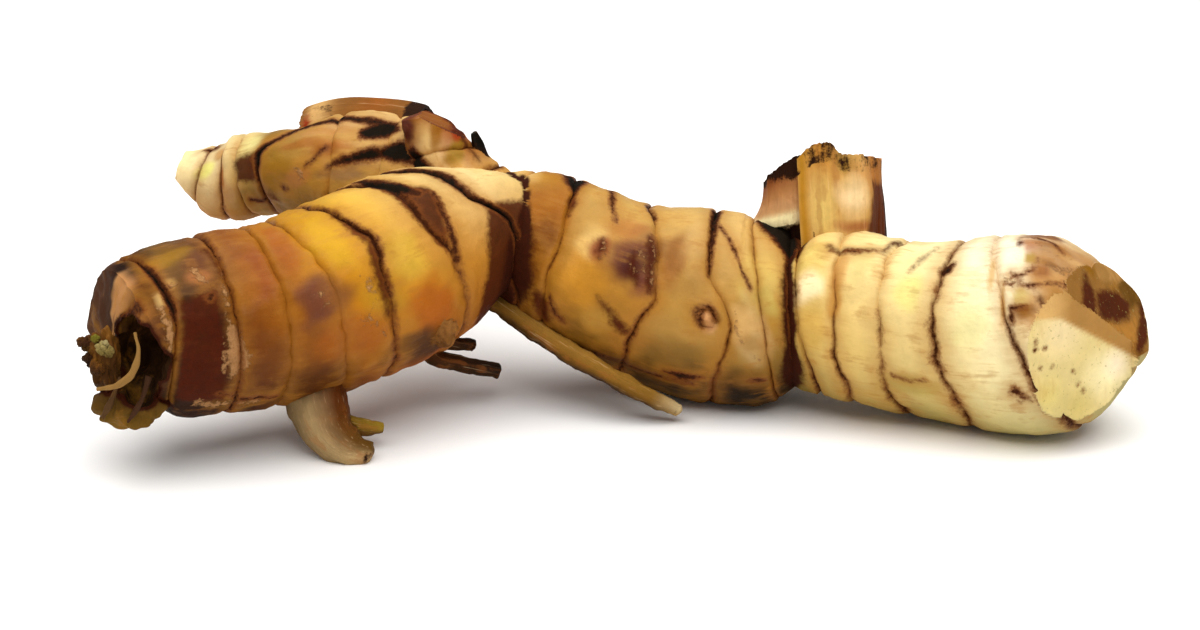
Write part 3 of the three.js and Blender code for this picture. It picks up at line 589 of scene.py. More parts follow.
pale_limb = Limb([
    [33, -3.5, 18, 10.5], [37.5, -4.6, 17.7, 13.8], [43.5, -6.2, 17.4, 14.6], [52.5, -9, 16.6, 15.4],
    [62.5, -12, 16.2, 16.1], [73, -15, 16.8, 16.8], [81.5, -17.8, 18.9, 16.1], [88, -19.9, 21.3, 10.6],
    [92, -21.1, 23, 6.4], [94, -21.6, 23.4, 3],
])
pale_body = grow_limb("pale_body", pale_limb, sides=144, end_rows=6, rings=[
    {0: 0},
    {-9: 0.27, 48: 0.53, 70: 0.8, 90: 1.02, 112: 1.43, 134: 1.6, 180: 1.6, 270: 0.9},
    {-4: 1.75, 40: 1.8, 74: 2.02, 101: 2.17, 119: 2.45, 180: 2.5, 270: 2.1},
    {-8: 2.88, 27: 2.72, 63: 2.83, 87: 2.98, 115: 3.08, 147: 3.37, 180: 3.4, 270: 3.1},
    {-13: 4.0, 14: 3.88, 35: 3.82, 56: 3.73, 74: 3.82, 96: 3.95, 117: 4.17, 139: 4.33, 180: 4.35, 270: 4.2},
    {-2: 4.6, 12: 4.62, 26: 4.74, 40: 4.88, 56: 5.0, 74: 5.2, 95: 5.42, 115: 5.57, 130: 5.78, 180: 5.9,
     270: 5.0},
    {0: 6.9, 90: 7, 180: 7.2, 270: 7},
    {0: 8},
    {0: 9},
], inks=[
    {-9: 1.2, 20: 0.6, 40: -0.9, 96: -0.9, 112: 0.2, 134: 0.6, 180: 0.4, 270: 0.6},
    {-10: -0.7, 20: -1.1, 40: -1.0, 58: -0.5, 74: -0.1, 90: 0.0, 105: 0.3, 119: 0.2, 140: 0, 180: 0.1,
     270: 0.2},
    {-8: -1.4, 27: -1.4, 54: -1.3, 64: -0.2, 76: 0.0, 90: -0.4, 112: -0.1, 130: 0.3, 145: 0.6, 180: 0.2,
     270: 0.2},
    {-13: -0.1, 14: 0, 30: 0.4, 45: -0.1, 56: 0, 70: 0.45, 84: 0.4, 100: 0.1, 120: 0.1, 139: 0.2, 180: 0.2,
     270: 0.2},
    {-2: -0.9, 20: -1.2, 34: -1.1, 50: -0.5, 60: 0.0, 68: 0.2, 76: 0.5, 90: 0.3, 105: 0.5, 118: 0.9,
     127: 0.7, 180: 0.3, 270: 0.3},
    {0: -1},
    {0: -1},
], bands=[
    [0, (228, 198, 122), (214, 176, 90), (150, 118, 45)],
    [1.0, (242, 216, 142), (222, 188, 104), (168, 138, 58)],
    [2.0, (248, 226, 160), (234, 204, 126), (192, 162, 82)],
    [3.0, (251, 234, 176), (241, 216, 144), (202, 174, 94)],
    [3.9, (251, 236, 186), (241, 218, 150), (206, 184, 108)],
    [4.6, (253, 244, 212), (248, 233, 182), (216, 198, 128)],
    [5.5, (252, 240, 206), (246, 232, 184), (208, 192, 130)],
    [6.5, (222, 186, 124), (240, 226, 176), (200, 184, 120)],
    [9, (200, 160, 100), (226, 212, 160), (190, 170, 110)],
], smudges=[
    ((30, 1.0), (4, 4), (228, 206, 116), 0.6), ((52, 1.1), (3.5, 3.5), (252, 236, 190), 0.8),
    ((82, 1.4), (3, 5), (218, 180, 88), 0.6), ((40, 1.9), (1.6, 5), (216, 166, 84), 0.7),
    ((62, 1.95), (1.4, 4), (206, 150, 52), 0.6), ((48, 3.3), (3, 4), (236, 226, 140), 0.7),
    ((110, 3.5), (6, 3), (196, 172, 84), 0.6), ((96, 2.4), (5, 5), (236, 208, 128), 0.5),
    ((66, 4.4), (4, 5), (240, 234, 166), 0.5), ((20, 6.3), (7, 9), (200, 158, 100), 0.95),
    ((45, 6.2), (5, 6), (210, 168, 104), 0.95), ((57, 5.75), (4.5, 4), (208, 166, 104), 0.9),
    ((57, 5.5), (2.4, 1.7), (132, 80, 26), 0.95), ((74, 5.42), (1.7, 2.4), (244, 228, 176), 1.0),
    ((86, 5.56), (1.5, 3.2), (240, 226, 176), 1.0), ((101, 5.68), (1.4, 3.4), (230, 216, 160), 1.0),
    ((114, 5.8), (1.3, 3), (216, 200, 140), 0.9), ((26, 6.1), (3.4, 1.1), (156, 108, 52), 0.8),
    ((38, 6.35), (3, 1.2), (222, 182, 116), 0.8), ((14, 6.6), (2.6, 1.4), (222, 186, 122), 0.7),
    ((2, 6.0), (3.4, 1.2), (150, 96, 42), 0.7), ((44, 6.7), (1.1, 2.4), (160, 112, 40), 0.7),
    ((-12, 5.7), (5, 2.2), (138, 78, 26), 0.9), ((32, 5.9), (2, 1.6), (162, 100, 44), 0.8),
    ((8, 5.5), (3, 3), (190, 128, 66), 0.8), ((16, 5.18), (3.4, 4.2), (254, 242, 212), 0.95),
    ((49, 5.47), (2.0, 2.2), (224, 204, 130), 0.9), ((23, 5.66), (1.6, 1.6), (196, 170, 84), 0.9),
    ((56, 6.35), (4, 3), (190, 138, 52), 0.8), ((30, 4.68), (0.8, 4), (222, 186, 112), 0.7),
    ((50, 4.98), (0.9, 5), (216, 172, 88), 0.8), ((12, 4.3), (3, 5), (254, 246, 214), 0.6),
    ((30, 2.3), (2, 5), (226, 208, 136), 0.6),
], ink=[
    ([0.1, 0.25, 0.1], [(22, 1.55), (20, 2.1), (16, 2.55)]),
    ([0.5, 1.0, 0.4], [(33, 3.82), (29, 3.88), (24, 3.98)]),
    ([0.1, 0.2, 0.1], [(104, 3.2), (107, 3.5), (104, 3.72)]),
    (0.15, [(112, 5.2), (108, 5.28), (112, 5.36)]),
    ([0.0, 0.1, 0.35, 0.1], [(39, 4.98), (41, 5.4), (43, 5.7), (43, 5.85)]),
    ([0.0, 0.08, 0.05], [(43, 5.9), (41, 6.2), (40, 6.5)]),
    ([0.1, 0.3, 0.25, 0.1], [(33, 5.18), (36, 5.4), (31, 5.75), (22, 5.8)]),
    ([0.3, 0.4, 0.1], [(55, 5.17), (55, 5.3), (56, 5.57)]),
    ([0.2, 0.6, 0.3], [(56, 5.2), (60, 5.2), (64, 5.22)]),
    ([0.1, 0.3, 0.1], [(65, 5.84), (66, 5.9), (64, 5.98)]),
    ([0.1, 0.3, 0.3], [(24, 6.8), (38, 6.63), (49, 6.52)]),
    ([0.1, 0.3, 0.3, 0.1], [(-4, 5.2), (-4, 5.6), (0, 6.1), (8, 6.3)]),
    ([0.1, 0.3, 0.2], [(106, 5.05), (103, 5.12), (107, 5.2)]),
], maroon=[
    ([0.2, 0.55, 0.3], [(5, 3.56), (22, 3.36), (34, 3.24)]),
    ([0.5, 0.5, 0.3], [(-6, 2.85), (8, 2.7), (18, 2.62)]),
    ([0.2, 0.5, 0.5, 0.2], [(18, 1.5), (21, 1.7), (18, 2.2), (14, 2.5)]),
    ([0.2, 0.7, 0.4], [(49, 5.83), (52, 5.86), (56, 5.9)]),
    ([0.3, 0.7, 0.3], [(55, 6.04), (57, 6.08), (59, 6.1)]),
    ([0.2, 0.6, 0.2], [(2, 5.25), (6, 5.3), (10, 5.32)]),
], cork=[
    ([0.1, 0.5, 0.1], [(4, 5.7), (12, 6.0), (10, 6.5)]),
    ([0.1, 0.5, 0.1], [(28, 5.9), (30, 6.3), (22, 6.6)]),
    ([0.1, 0.4, 0.1], [(40, 5.9), (44, 6.2), (38, 6.5)]),
    ([0.2, 0.5, 0.3], [(36, 5.0), (39, 5.3), (46, 5.25)]),
    ([0.3, 0.7, 0.3], [(14, 5.93), (12, 5.98), (14, 6.05)]),
])


def cutter(name, through, facing, tint_of, wobble=0.12, reach=42, cells=78):
    """A slab whose finely netted face cuts the limb. tint_of gives the flesh's values on that face."""
    normal = np.array(facing, float) / np.linalg.norm(facing)
    right = np.cross([0, 0, 1.0], normal)
    right /= np.linalg.norm(right)
    rise = np.cross(normal, right)
    piece, across, up = new_grid(name, cells, cells)
    pick(piece)
    bpy.ops.object.mode_set(mode="EDIT")
    bpy.ops.mesh.select_all(action="SELECT")
    bpy.ops.mesh.extrude_region_move(TRANSFORM_OT_translate={"value": (0, 0, 1)})
    bpy.ops.object.mode_set(mode="OBJECT")
    flat = places_of(piece.data) * reach
    knife = wobble * grain_at(flat * (1, 0.25, 1), 3.0, 7.7) * (flat[:, 2] < 1)
    origin = np.array(through) - FOOTPRINT_CENTRE
    places = origin + flat[:, :1] * right + flat[:, 1:2] * rise + (flat[:, 2:] + knife[:, None]) * normal
    put(piece, places)
    tint, ink, maroon = tint_of(flat[:, :2])
    grain = flat * (1, 0.2, 1)
    add_values(piece.data, tint, grain, flesh=1.0, wax=0.0, ink=ink, maroon=maroon, cork=OUTSIDE)
    turn_outwards(piece, SEAM)
    return piece


def blend(tint, cover, colour):
    cover = np.clip(cover, 0, 1)[:, None]
    return tint * (1 - cover) + linear(colour) * cover


def dried_flesh(at):
    """The old cut, brown and blotched, with a dark red core. A patch is colour, strength, corners."""
    tint = np.tile(linear((134, 92, 40)), (len(at), 1))
    streaks = grain_at(np.c_[at * (1, 0.15), np.zeros(len(at))], 1.3, 2.4)
    for colour, share, spots in [
        ((128, 84, 14), 0.8, [(1, 1), (-4, -3), (-2, -6), (3, -1)]),
        ((132, 84, 14), 0.9, [(-15, -9), (-10, -9), (-5, -13), (-2, -16), (-6, -20), (-13, -14)]),
        ((92, 60, 14), 0.9, [(2, -9), (6, -8), (12, -12), (9, -15), (4, -13)]),
        ((166, 122, 66), 0.9, [(0, -3), (5, -3), (8, -8), (3, -8), (-1, -6)]),
        ((160, 108, 44), 0.9, [(1, -15), (4, -15), (1, -20), (-5, -20), (-4, -14)]),
    ]:
        tint = blend(tint, share * (depth_inside(at, None, np.array(spots, float)) + 0.6 + streaks), colour)
    core = [
        ([0.4, 1.5, 1.6, 0.8], [(-4, -4.5), (-5.5, -7.5), (-7.5, -10), (-8.5, -12)]),
        (None, [(-3.5, -8), (2.5, -9.5), (4, -12.5), (1.5, -15), (-6, -12.5)]),
        ([0.8, 1.3, 1.2, 0.5], [(7, -14), (6, -16.5), (3, -18.5), (0.5, -20)]),
    ]
    maroon = np.max([depth_inside(at, half_width, np.array(spots, float)) for half_width, spots in core], 0)
    return blend(tint, 0.35 * (streaks > 0.12), (112, 76, 24)), OUTSIDE, maroon


def fresh_flesh(at):
    """The new cut, cream with dark dots, and above a slanting line torn and tan."""
    tint = np.tile(linear((214, 192, 130)), (len(at), 1))
    for colour, centre, radius in [
        ((238, 222, 168), (16, -7), 5), ((232, 208, 156), (7, 2), 5), ((240, 220, 184), (18, -5.5), 3),
        ((210, 190, 116), (4, -9), 4), ((206, 184, 112), (10, -12), 4),
    ]:
        tint = blend(tint, 1.2 - np.hypot(*(at - centre).T) / radius, colour)
    torn = np.array([
        (-9, 5.8), (0.6, 4.9), (6.8, 4.1), (12.6, 0.6), (21, -4.4), (30, -4.4), (30, 20), (-9, 20),
    ])
    torn_depth = depth_inside(at, None, torn)
    is_torn = np.clip(0.5 + torn_depth * 1.4, 0, 1)
    tint = blend(tint, is_torn, (206, 162, 98))
    tint = blend(tint, is_torn * np.clip((at[:, 0] - 5) * 0.2, 0, 0.8), (156, 110, 52))
    dots = [
        (1.6, -0.5), (3.6, -0.4), (2.6, -3.8), (5, -4), (9.2, -5.5), (10.2, -7.8), (11.2, -9.2), (1.8, 0.9),
    ]
    ink = np.max([0.12 - np.hypot(*(at - dot).T) for dot in dots], 0)
    return tint, ink, OUTSIDE


dried_cut = cutter("dried_cut", (83, -16.5, 33.8), (0.65, -0.52, 0.55), dried_flesh)
fresh_cut = cutter("fresh_cut", (71.5, -31.6, 20.5), (0.42, -0.9, 0.1), fresh_flesh)

# Broken shoot
# The stump of a leafy shoot that snapped off at the fork, fleshy inside, with the torn red-brown rims
# of its last two leaf bases round it.

broken_shoot = Limb([
    [-17, 6, 27, 9], [-23.5, 8, 34, 8.2, 7.4], [-28.6, 10.5, 42, 6.1, 5.6], [-30.6, 12, 49, 5.1, 4.8],
], upright=True)
shoot_body = grow_limb("shoot_body", broken_shoot, sides=96, step=0.45, end_rows=8, rings=[
    {0: 0}, {0: 1.35, 90: 1.3, 180: 1.15, 270: 1.3}, {0: 2.05, 90: 2.1, 180: 1.7, 270: 1.9}, {0: 3},
], inks=[
    {0: 0.4, 60: -0.9, 120: -0.9, 170: 0.5, 270: 0.5},
    {0: 0.4, 60: -0.9, 120: -0.9, 160: 0.5, 270: 0.4},
], bands=[
    [0, (120, 66, 24), (226, 190, 116), (216, 168, 84)],
    [1.2, (110, 60, 22), (244, 226, 172), (220, 180, 104)],
    [2.0, (130, 78, 34), (242, 218, 160), (180, 112, 46)],
    [2.6, (126, 52, 22), (210, 164, 84), (178, 90, 34)],
    [3.0, (110, 38, 14), (190, 130, 56), (170, 76, 30)],
], smudges=[
    ((122, 1.9), (3, 2.2), (170, 138, 36), 0.85), ((78, 2.2), (5, 2.6), (236, 206, 140), 0.9),
    ((100, 2.5), (3, 1.4), (176, 120, 24), 0.8), ((100, 1.4), (3, 3), (232, 190, 106), 0.7),
    ((30, 2.7), (3, 3), (122, 40, 14), 0.9), ((140, 2.5), (3, 1.2), (186, 78, 30), 0.8),
], ink=[
    (0.5, [(8, 2.75), (9, 2.3), (5, 1.8)]),
    (None, [(20, 2.3), (48, 2.35), (60, 2.1), (74, 1.9), (82, 1.6), (40, 1.2)]),
], maroon=[
    ([0.3, 0.6, 0.4], [(150, 2.4), (146, 2.12), (150, 1.48)]), (0.9, [(10, 2.75), (44, 2.6)]),
])


def stump_flesh(at):
    """Dry brown flesh, redder towards its rim."""
    tint = np.tile(linear((126, 72, 28)), (len(at), 1))
    rim = np.hypot(*at.T) + 0.8 * grain_at(np.c_[at, np.zeros(len(at))], 2.0) - 4.0
    tint = blend(tint, rim * 0.9, (112, 44, 18))
    return tint, OUTSIDE, rim - 0.9


snapped = cutter("snapped", (-30.6, 12, 48.2), (0.4, 0.12, 0.9), stump_flesh, wobble=0.5, reach=20, cells=44)

# Rhizome body
# All the limbs are one grown body. Here they are joined, its end is hollowed by rot and cut by the knife,
# and the spots that it rests on are pressed flat.


PLAIN = {"flesh": 0.0, "wax": 0.0, "ink": OUTSIDE, "maroon": OUTSIDE, "cork": OUTSIDE}


def lump(name, centre, radii, colours, roughness=0.35):
    """A knobbly swelling, its colour running from its first to its second colour down its height."""
    deselect_all()
    bpy.ops.mesh.primitive_ico_sphere_add(subdivisions=6, radius=1)
    piece = bpy.context.object
    piece.name = piece.data.name = name
    ball = places_of(piece.data)
    rough = 1 + roughness * (0.5 * grain_at(ball, 0.8, centre[0]) + 0.3 * grain_at(ball, 0.3, centre[1]))
    places = np.array(centre) - FOOTPRINT_CENTRE + ball * radii * rough[:, None]
    put(piece, places)
    down = (1 - ball[:, 2:]) / 2
    tint = linear(colours[0]) * (1 - down) + linear(colours[1]) * down
    add_values(piece.data, tint, places * (1, 1, 0.3), **PLAIN)
    return piece


def combine(body, how, *others):
    """Joins other pieces to a body, or cuts them out of it, one after the other."""
    for other in others:
        pick(body)
        bpy.ops.object.modifier_add(type="BOOLEAN")
        join = body.modifiers[-1]
        join.operation, join.solver, join.object = how, "MANIFOLD", other
        bpy.ops.object.modifier_apply(modifier=join.name)
        bpy.data.objects.remove(other)


def table_block():
    """What the table takes up, 60 mm deep, to press a piece's underside flat."""
    deselect_all()
    bpy.ops.mesh.primitive_cube_add(size=1)
    piece = bpy.context.object
    places = places_of(piece.data) * (400, 400, 60) - (0, 0, 30)
    put(piece, places)
    add_values(piece.data, np.tile(linear(UMBER), (len(places), 1)), places, **PLAIN)
    return piece


def values_of(mesh, name):
    layer = mesh.attributes[name]
    if layer.data_type == "FLOAT_COLOR":
        values = np.empty(len(mesh.vertices) * 4)
        layer.data.foreach_get("color", values)
        return values.reshape(-1, 4)
    values = np.empty(len(mesh.vertices))
    layer.data.foreach_get("value", values)
    return values[:, None]


def crease_up(body, wide_spots):
    """Marks how near each point lies to a line where two limbs meet, from 0 to 1. Some stretches are wide."""
    mesh = body.data
    places = places_of(mesh) / MM
    seam = np.nonzero(values_of(mesh, "known")[:, 0] < 0.99)[0]
    tree = kdtree.KDTree(len(seam))
    for i in seam:
        tree.insert(places[i], i)
    tree.balance()
    away = np.array([tree.find(p)[2] for p in places])
    width = np.full(len(places), 0.7)
    for centre, reach, wide in wide_spots:
        near = np.exp(-((np.linalg.norm(places + FOOTPRINT_CENTRE - centre, axis=1) / reach) ** 2))
        width = np.maximum(width, wide * near)
    layer = mesh.attributes.new("crease", "FLOAT", "POINT")
    layer.data.foreach_set("value", np.exp(-((away / width) ** 1.5)))


def thread(name, stations, thickness, colour, sides=12):
    """A fibre through some places, thin at both of its ends."""
    count = len(stations) - 1
    widths = [thickness * (0.35 + 0.65 * math.sin(math.pi * i / count)) for i in range(count + 1)]
    limb = Limb([[*place, width] for place, width in zip(stations, widths)], upright=True)
    whole_skin = [(-120, -1), (240, -1), (240, count + 1), (-120, count + 1)]
    return grow_limb(
        name, limb, rings=[{0: 0}, {0: count}], sides=sides, inks=[], bands=[[0, colour, colour, colour]],
        lumps=0, step=0.4, end_rows=3, dome=0.1, dull=[(None, whole_skin)],
    )


rotten_lip = lump("rotten_lip", (-78, -37, 13.2), (6, 5, 4.4), ((54, 30, 12), (110, 80, 26)), 0.6)
hollow = lump("rotten_hollow", (-76.8, -39.4, 21.7), (6.2, 9, 7.2), ((66, 38, 16), (34, 18, 8)), 0.5)
torn_rim = lump("torn_rim", (-81.9, -37.4, 20.8), (2.5, 3.4, 5.2), ((92, 56, 22), (46, 26, 12)), 0.7)
combine(rhizome, "UNION", rotten_lip)
combine(rhizome, "DIFFERENCE", hollow)
combine(rhizome, "UNION", torn_rim, rear_body, middle_body, pale_body)
# The skin is darkened along these creases, partly as dark tissue and partly as painted shade in them.
crease_up(rhizome, [
    ((-16.6, -8, 25), 9, 5.5), ((-19, -7, 19), 7, 5.5), ((-19.6, 4, 34), 10, 1.5), ((32.6, -2, 31), 9, 2.8),
    ((33.5, -17, 22), 14, 1.5), ((34.7, -16, 10), 7, 2.6),
])
combine(rhizome, "DIFFERENCE", dried_cut, fresh_cut)
combine(shoot_body, "DIFFERENCE", snapped)

# The swelling under the right shoot, the knob that two rootlets leave from, a withered bud on the front
# limb, and a torn black-tipped splinter of the broken shoot.
shoot_base = lump("shoot_base", (42.2, 3.4, 20), (13, 12, 9.5), ((236, 206, 132), OLIVE), 0.08)
root_knob = lump("root_knob", (-28.4, -9, 16.2), (4, 4, 4.4), ((196, 152, 92), UMBER), 0.5)
withered_bud = lump("withered_bud", (-27.4, -21.6, 20.4), (3, 3, 3), ((146, 98, 48), (80, 46, 20)), 0.7)
spike = grow_limb(
    "torn_spike", Limb([
        [-22.4, 9, 46.2, 0.25], [-21.8, 9.4, 43.4, 0.8], [-21.2, 9.6, 40.6, 1.7, 1.2],
        [-21.2, 9.4, 37, 3.2, 2], [-21.6, 9, 33, 4, 2.6],
    ], upright=True),
    rings=[{0: 0}, {0: 4}], sides=30, inks=[], lumps=0.3, end_rows=3, dome=0.1,
    bands=[
        [0, SOOT, SOOT, SOOT],
        [0.8, (90, 46, 20), (46, 22, 12), SOOT],
        [1.4, (170, 104, 44), (130, 74, 30), (64, 30, 14)],
        [3, (206, 156, 84), (190, 130, 56), (150, 96, 40)],
    ],
)
combine(rhizome, "UNION", shoot_body, shoot_base, root_knob, withered_bud, spike)
combine(rhizome, "DIFFERENCE", table_block())

KEPT_VALUES = ("tint", "grain", "ink", "maroon", "cork", "flesh", "wax", "crease")


def mend_seams(mesh):
    """Gives the new points, where two solids meet, the mean values of their neighbours."""
    edges = np.empty(len(mesh.edges) * 2, int)
    mesh.edges.foreach_get("vertices", edges)
    edges = edges.reshape(-1, 2)
    known = values_of(mesh, "known")[:, 0] > 0.99
    layers = {name: values_of(mesh, name) for name in KEPT_VALUES if name in mesh.attributes}
    for _ in range(12):
        if known.all():
            break
        weight = np.zeros(len(known))
        for a, b in (edges.T, edges.T[::-1]):
            np.add.at(weight, a, known[b])
        reached = ~known & (weight > 0)
        for values in layers.values():
            total = np.zeros_like(values)
            for a, b in (edges.T, edges.T[::-1]):
                np.add.at(total, a, values[b] * known[b][:, None])
            values[reached] = total[reached] / weight[reached][:, None]
        known |= reached
    for name, values in layers.items():
        kind = "color" if values.shape[1] == 4 else "value"
        mesh.attributes[name].data.foreach_set(kind, values.ravel())
    mesh.attributes.remove(mesh.attributes["known"])


mend_seams(rhizome.data)
smooth(rhizome)


class Signal:
    """A number, colour or direction in a material, which can be used in sums."""

    def __init__(self, finish, socket):
        self.finish, self.socket = finish, socket

    def sum(self, operation, *others):
        return self.finish.node("ShaderNodeMath", {"operation": operation}, list(others))

    def __add__(self, other):
        return self.sum("ADD", self, other)

    __radd__ = __add__

    def __sub__(self, other):
        return self.sum("SUBTRACT", self, other)

    def __rsub__(self, other):
        return self.sum("SUBTRACT", other, self)

    def __mul__(self, other):
        return self.sum("MULTIPLY", self, other)

    __rmul__ = __mul__

    def __pow__(self, other):
        return self.sum("POWER", self, other)


class Finish:
    """A material being put together."""

    def __init__(self, name, **constants):
        self.material = bpy.data.materials.new(name)
        self.material.use_nodes = True
        self.tree = self.material.node_tree
        self.surface = self.tree.nodes["Principled BSDF"]
        for socket, value in constants.items():
            socket = socket.replace("_", " ").title().replace("Ior", "IOR")
            self.surface.inputs[socket].default_value = value

    def node(self, kind, settings=None, inputs=(), output=0):
        node = self.tree.nodes.new(kind)
        for key, value in (settings or {}).items():
            setattr(node, key, value)
        pairs = inputs.items() if isinstance(inputs, dict) else enumerate(inputs)
        for key, value in pairs:
            if isinstance(value, Signal):
                self.tree.links.new(value.socket, node.inputs[key])
            else:
                node.inputs[key].default_value = value
        return Signal(self, node.outputs[output])

    def place(self):
        """The place on the piece, in millimetres."""
        spot = self.node("ShaderNodeTexCoord", output="Object")
        return self.node("ShaderNodeVectorMath", {"operation": "SCALE"}, {0: spot, "Scale": 1000.0})

    def stretched(self, place, by):
        return self.node("ShaderNodeVectorMath", {"operation": "MULTIPLY"}, [place, by])

    def value(self, name, output="Fac"):
        return self.node("ShaderNodeAttribute", {"attribute_name": name}, output=output)

    def noise(self, place, size, detail=3.0, rough=0.55):
        inputs = {"Vector": place, "Scale": 1 / size, "Detail": detail, "Roughness": rough}
        return self.node("ShaderNodeTexNoise", {}, inputs)

    def step(self, value, low, high):
        """0 below low and 1 above high, with a soft step between them."""
        settings = {"interpolation_type": "SMOOTHSTEP"}
        inputs = {"Value": value, "From Min": low, "From Max": high}
        return self.node("ShaderNodeMapRange", settings, inputs)

    def mix(self, cover, under, over):
        under, over = ((*linear(c), 1) if isinstance(c, tuple) else c for c in (under, over))
        return self.node("ShaderNodeMix", {"data_type": "RGBA"}, {0: cover, 6: under, 7: over}, 2)

    def shade(self, colour, by):
        """A colour made lighter or darker by a number."""
        return self.node("ShaderNodeVectorMath", {"operation": "SCALE"}, {0: colour, "Scale": by})

    def give(self, **signals):
        for socket, signal in signals.items():
            self.tree.links.new(signal.socket, self.surface.inputs[socket.replace("_", " ").title()])

    def bump(self, height, distance, strength):
        inputs = {"Height": height, "Distance": distance * MM, "Strength": strength}
        self.give(normal=self.node("ShaderNodeBump", {}, inputs))


WARM_GLEAM = {"specular_ior_level": 0.1, "specular_tint": (1, 0.8, 0.45, 1)}


def skin_finish():
    """Waxy skin: streaked lengthwise, mottled, cracked dark at the rings, with corky and dark red patches.
    Its brown halos by the rings and its dark creases where limbs meet are partly painted shade.
    """
    skin = Finish("rhizome_skin", coat_roughness=0.3, **WARM_GLEAM)
    place = skin.place()
    along = skin.value("grain", "Vector")
    broad = skin.noise(place, 9.0, 3.0)
    patchy = skin.noise(place, 4.0, 4.0)
    fine = skin.noise(place, 0.9, 4.0, 0.65)
    finest = skin.noise(place, 0.28, 3.0, 0.6)
    streaks = skin.noise(skin.stretched(along, (1, 1, 0.12)), 0.9, 4.0, 0.6)
    hoops = skin.noise(skin.stretched(along, (0.12, 0.12, 1)), 0.7, 3.0, 0.6)
    flesh = skin.value("flesh")
    ink_depth = skin.value("ink") + (patchy - 0.5) * 0.9 + (fine - 0.5) * 1.3 + (finest - 0.5) * 0.4
    ink = skin.step(ink_depth, -0.05, 0.4)
    rim = skin.step(ink_depth, -0.75, 0.15)
    # halo browns the skin beside each ring crack: partly the skin's own colour, partly painted shade of the
    # step at the ring.
    halo = skin.step(skin.value("ink") + (patchy - 0.5) * 3.0 + (streaks - 0.5) * 2.0, -3.4, 0.2)
    crease = skin.step(skin.value("crease") + (patchy - 0.5) * 0.5 + (fine - 0.5) * 0.5, 0.12, 0.62)
    maroon = skin.step(skin.value("maroon") + (patchy - 0.5) * 2.0 + (fine - 0.5) * 1.6, -0.9, 0.8)
    cork_depth = skin.value("cork") + (patchy - 0.5) * 2.4 + (fine - 0.5) * 3.0
    cork = skin.step(cork_depth, 0.05, 0.7)
    tint = skin.value("tint", "Color")
    tint = skin.shade(tint, 0.5 + broad * 0.4 + patchy * 0.38 + fine * 0.16 + streaks * 0.08)
    clouds = skin.step(broad + (streaks - 0.5) * 0.4, 0.54, 0.74) * 0.3
    mottles = skin.step(patchy + (streaks - 0.5) * 0.6, 0.56, 0.74) * 0.3 * (1 - flesh)
    freckles = skin.step(fine + (streaks - 0.5) * 0.3, 0.58, 0.8) * 0.16 * (1 - flesh)
    tint = skin.mix(clouds, tint, (168, 114, 34))
    tint = skin.mix(mottles, tint, (146, 92, 30))
    tint = skin.mix(freckles, tint, (112, 60, 24))
    tint = skin.mix(halo * 0.5 * (1 - flesh), tint, (158, 102, 34))
    tint = skin.mix(maroon * 0.95, tint, skin.mix(fine * 0.6 + patchy * 0.4, (34, 7, 2), (84, 26, 8)))
    tint = skin.mix(cork * 0.8, tint, skin.mix(finest * 0.5 + fine * 0.5, (104, 58, 22), (206, 156, 104)))
    # Near-black where the limbs meet: partly dark tissue, partly painted shade in the creases and under the
    # fork.
    tint = skin.mix(crease, tint, skin.mix(fine, (26, 6, 3), (64, 20, 6)))
    speck = skin.step(skin.noise(place, 0.55, 1.0), 0.66, 0.74)
    tint = skin.mix(speck * flesh * 0.45, tint, (150, 132, 74))
    tint = skin.mix(rim * 0.85, tint, skin.mix(patchy, (64, 24, 8), (132, 72, 26)))
    tint = skin.mix(ink, tint, skin.mix(skin.step(ink_depth, 0.3, 0.9), (62, 26, 9), (13, 7, 5)))
    wax = skin.value("wax") * (1 - cork) * (1 - ink) * (1 - maroon * 0.8) * (1 - crease)
    rough = 0.78 - wax * 0.3 + (fine - 0.5) * 0.2
    skin.give(base_color=tint, roughness=rough, coat_weight=wax * (0.03 + streaks * 0.12))
    height = patchy * 1.4 + fine * 0.4 + streaks * 0.2 + hoops * 0.15 + finest * 0.12
    height = height + cork * (0.6 + finest * 0.8) - rim * 0.35 - ink * 0.7
    skin.bump(height, 0.32, 0.8)
    return skin.material


def wear(piece, material, slot, *nodes):
    """Gives a finished piece its material and puts it in the place of the plain one."""
    piece.data.materials.clear()
    piece.data.materials.append(material)
    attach(piece, "root")
    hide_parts(*nodes)


rhizome_skin = skin_finish()
wear(rhizome, rhizome_skin, "rhizome_skin", "rhizome")

# Rotten end
# Tough fibres and crumbs of dead flesh that rot has left in the hollow of the front limb. They're the same
# body, dried out, and still hang on to its torn rim.

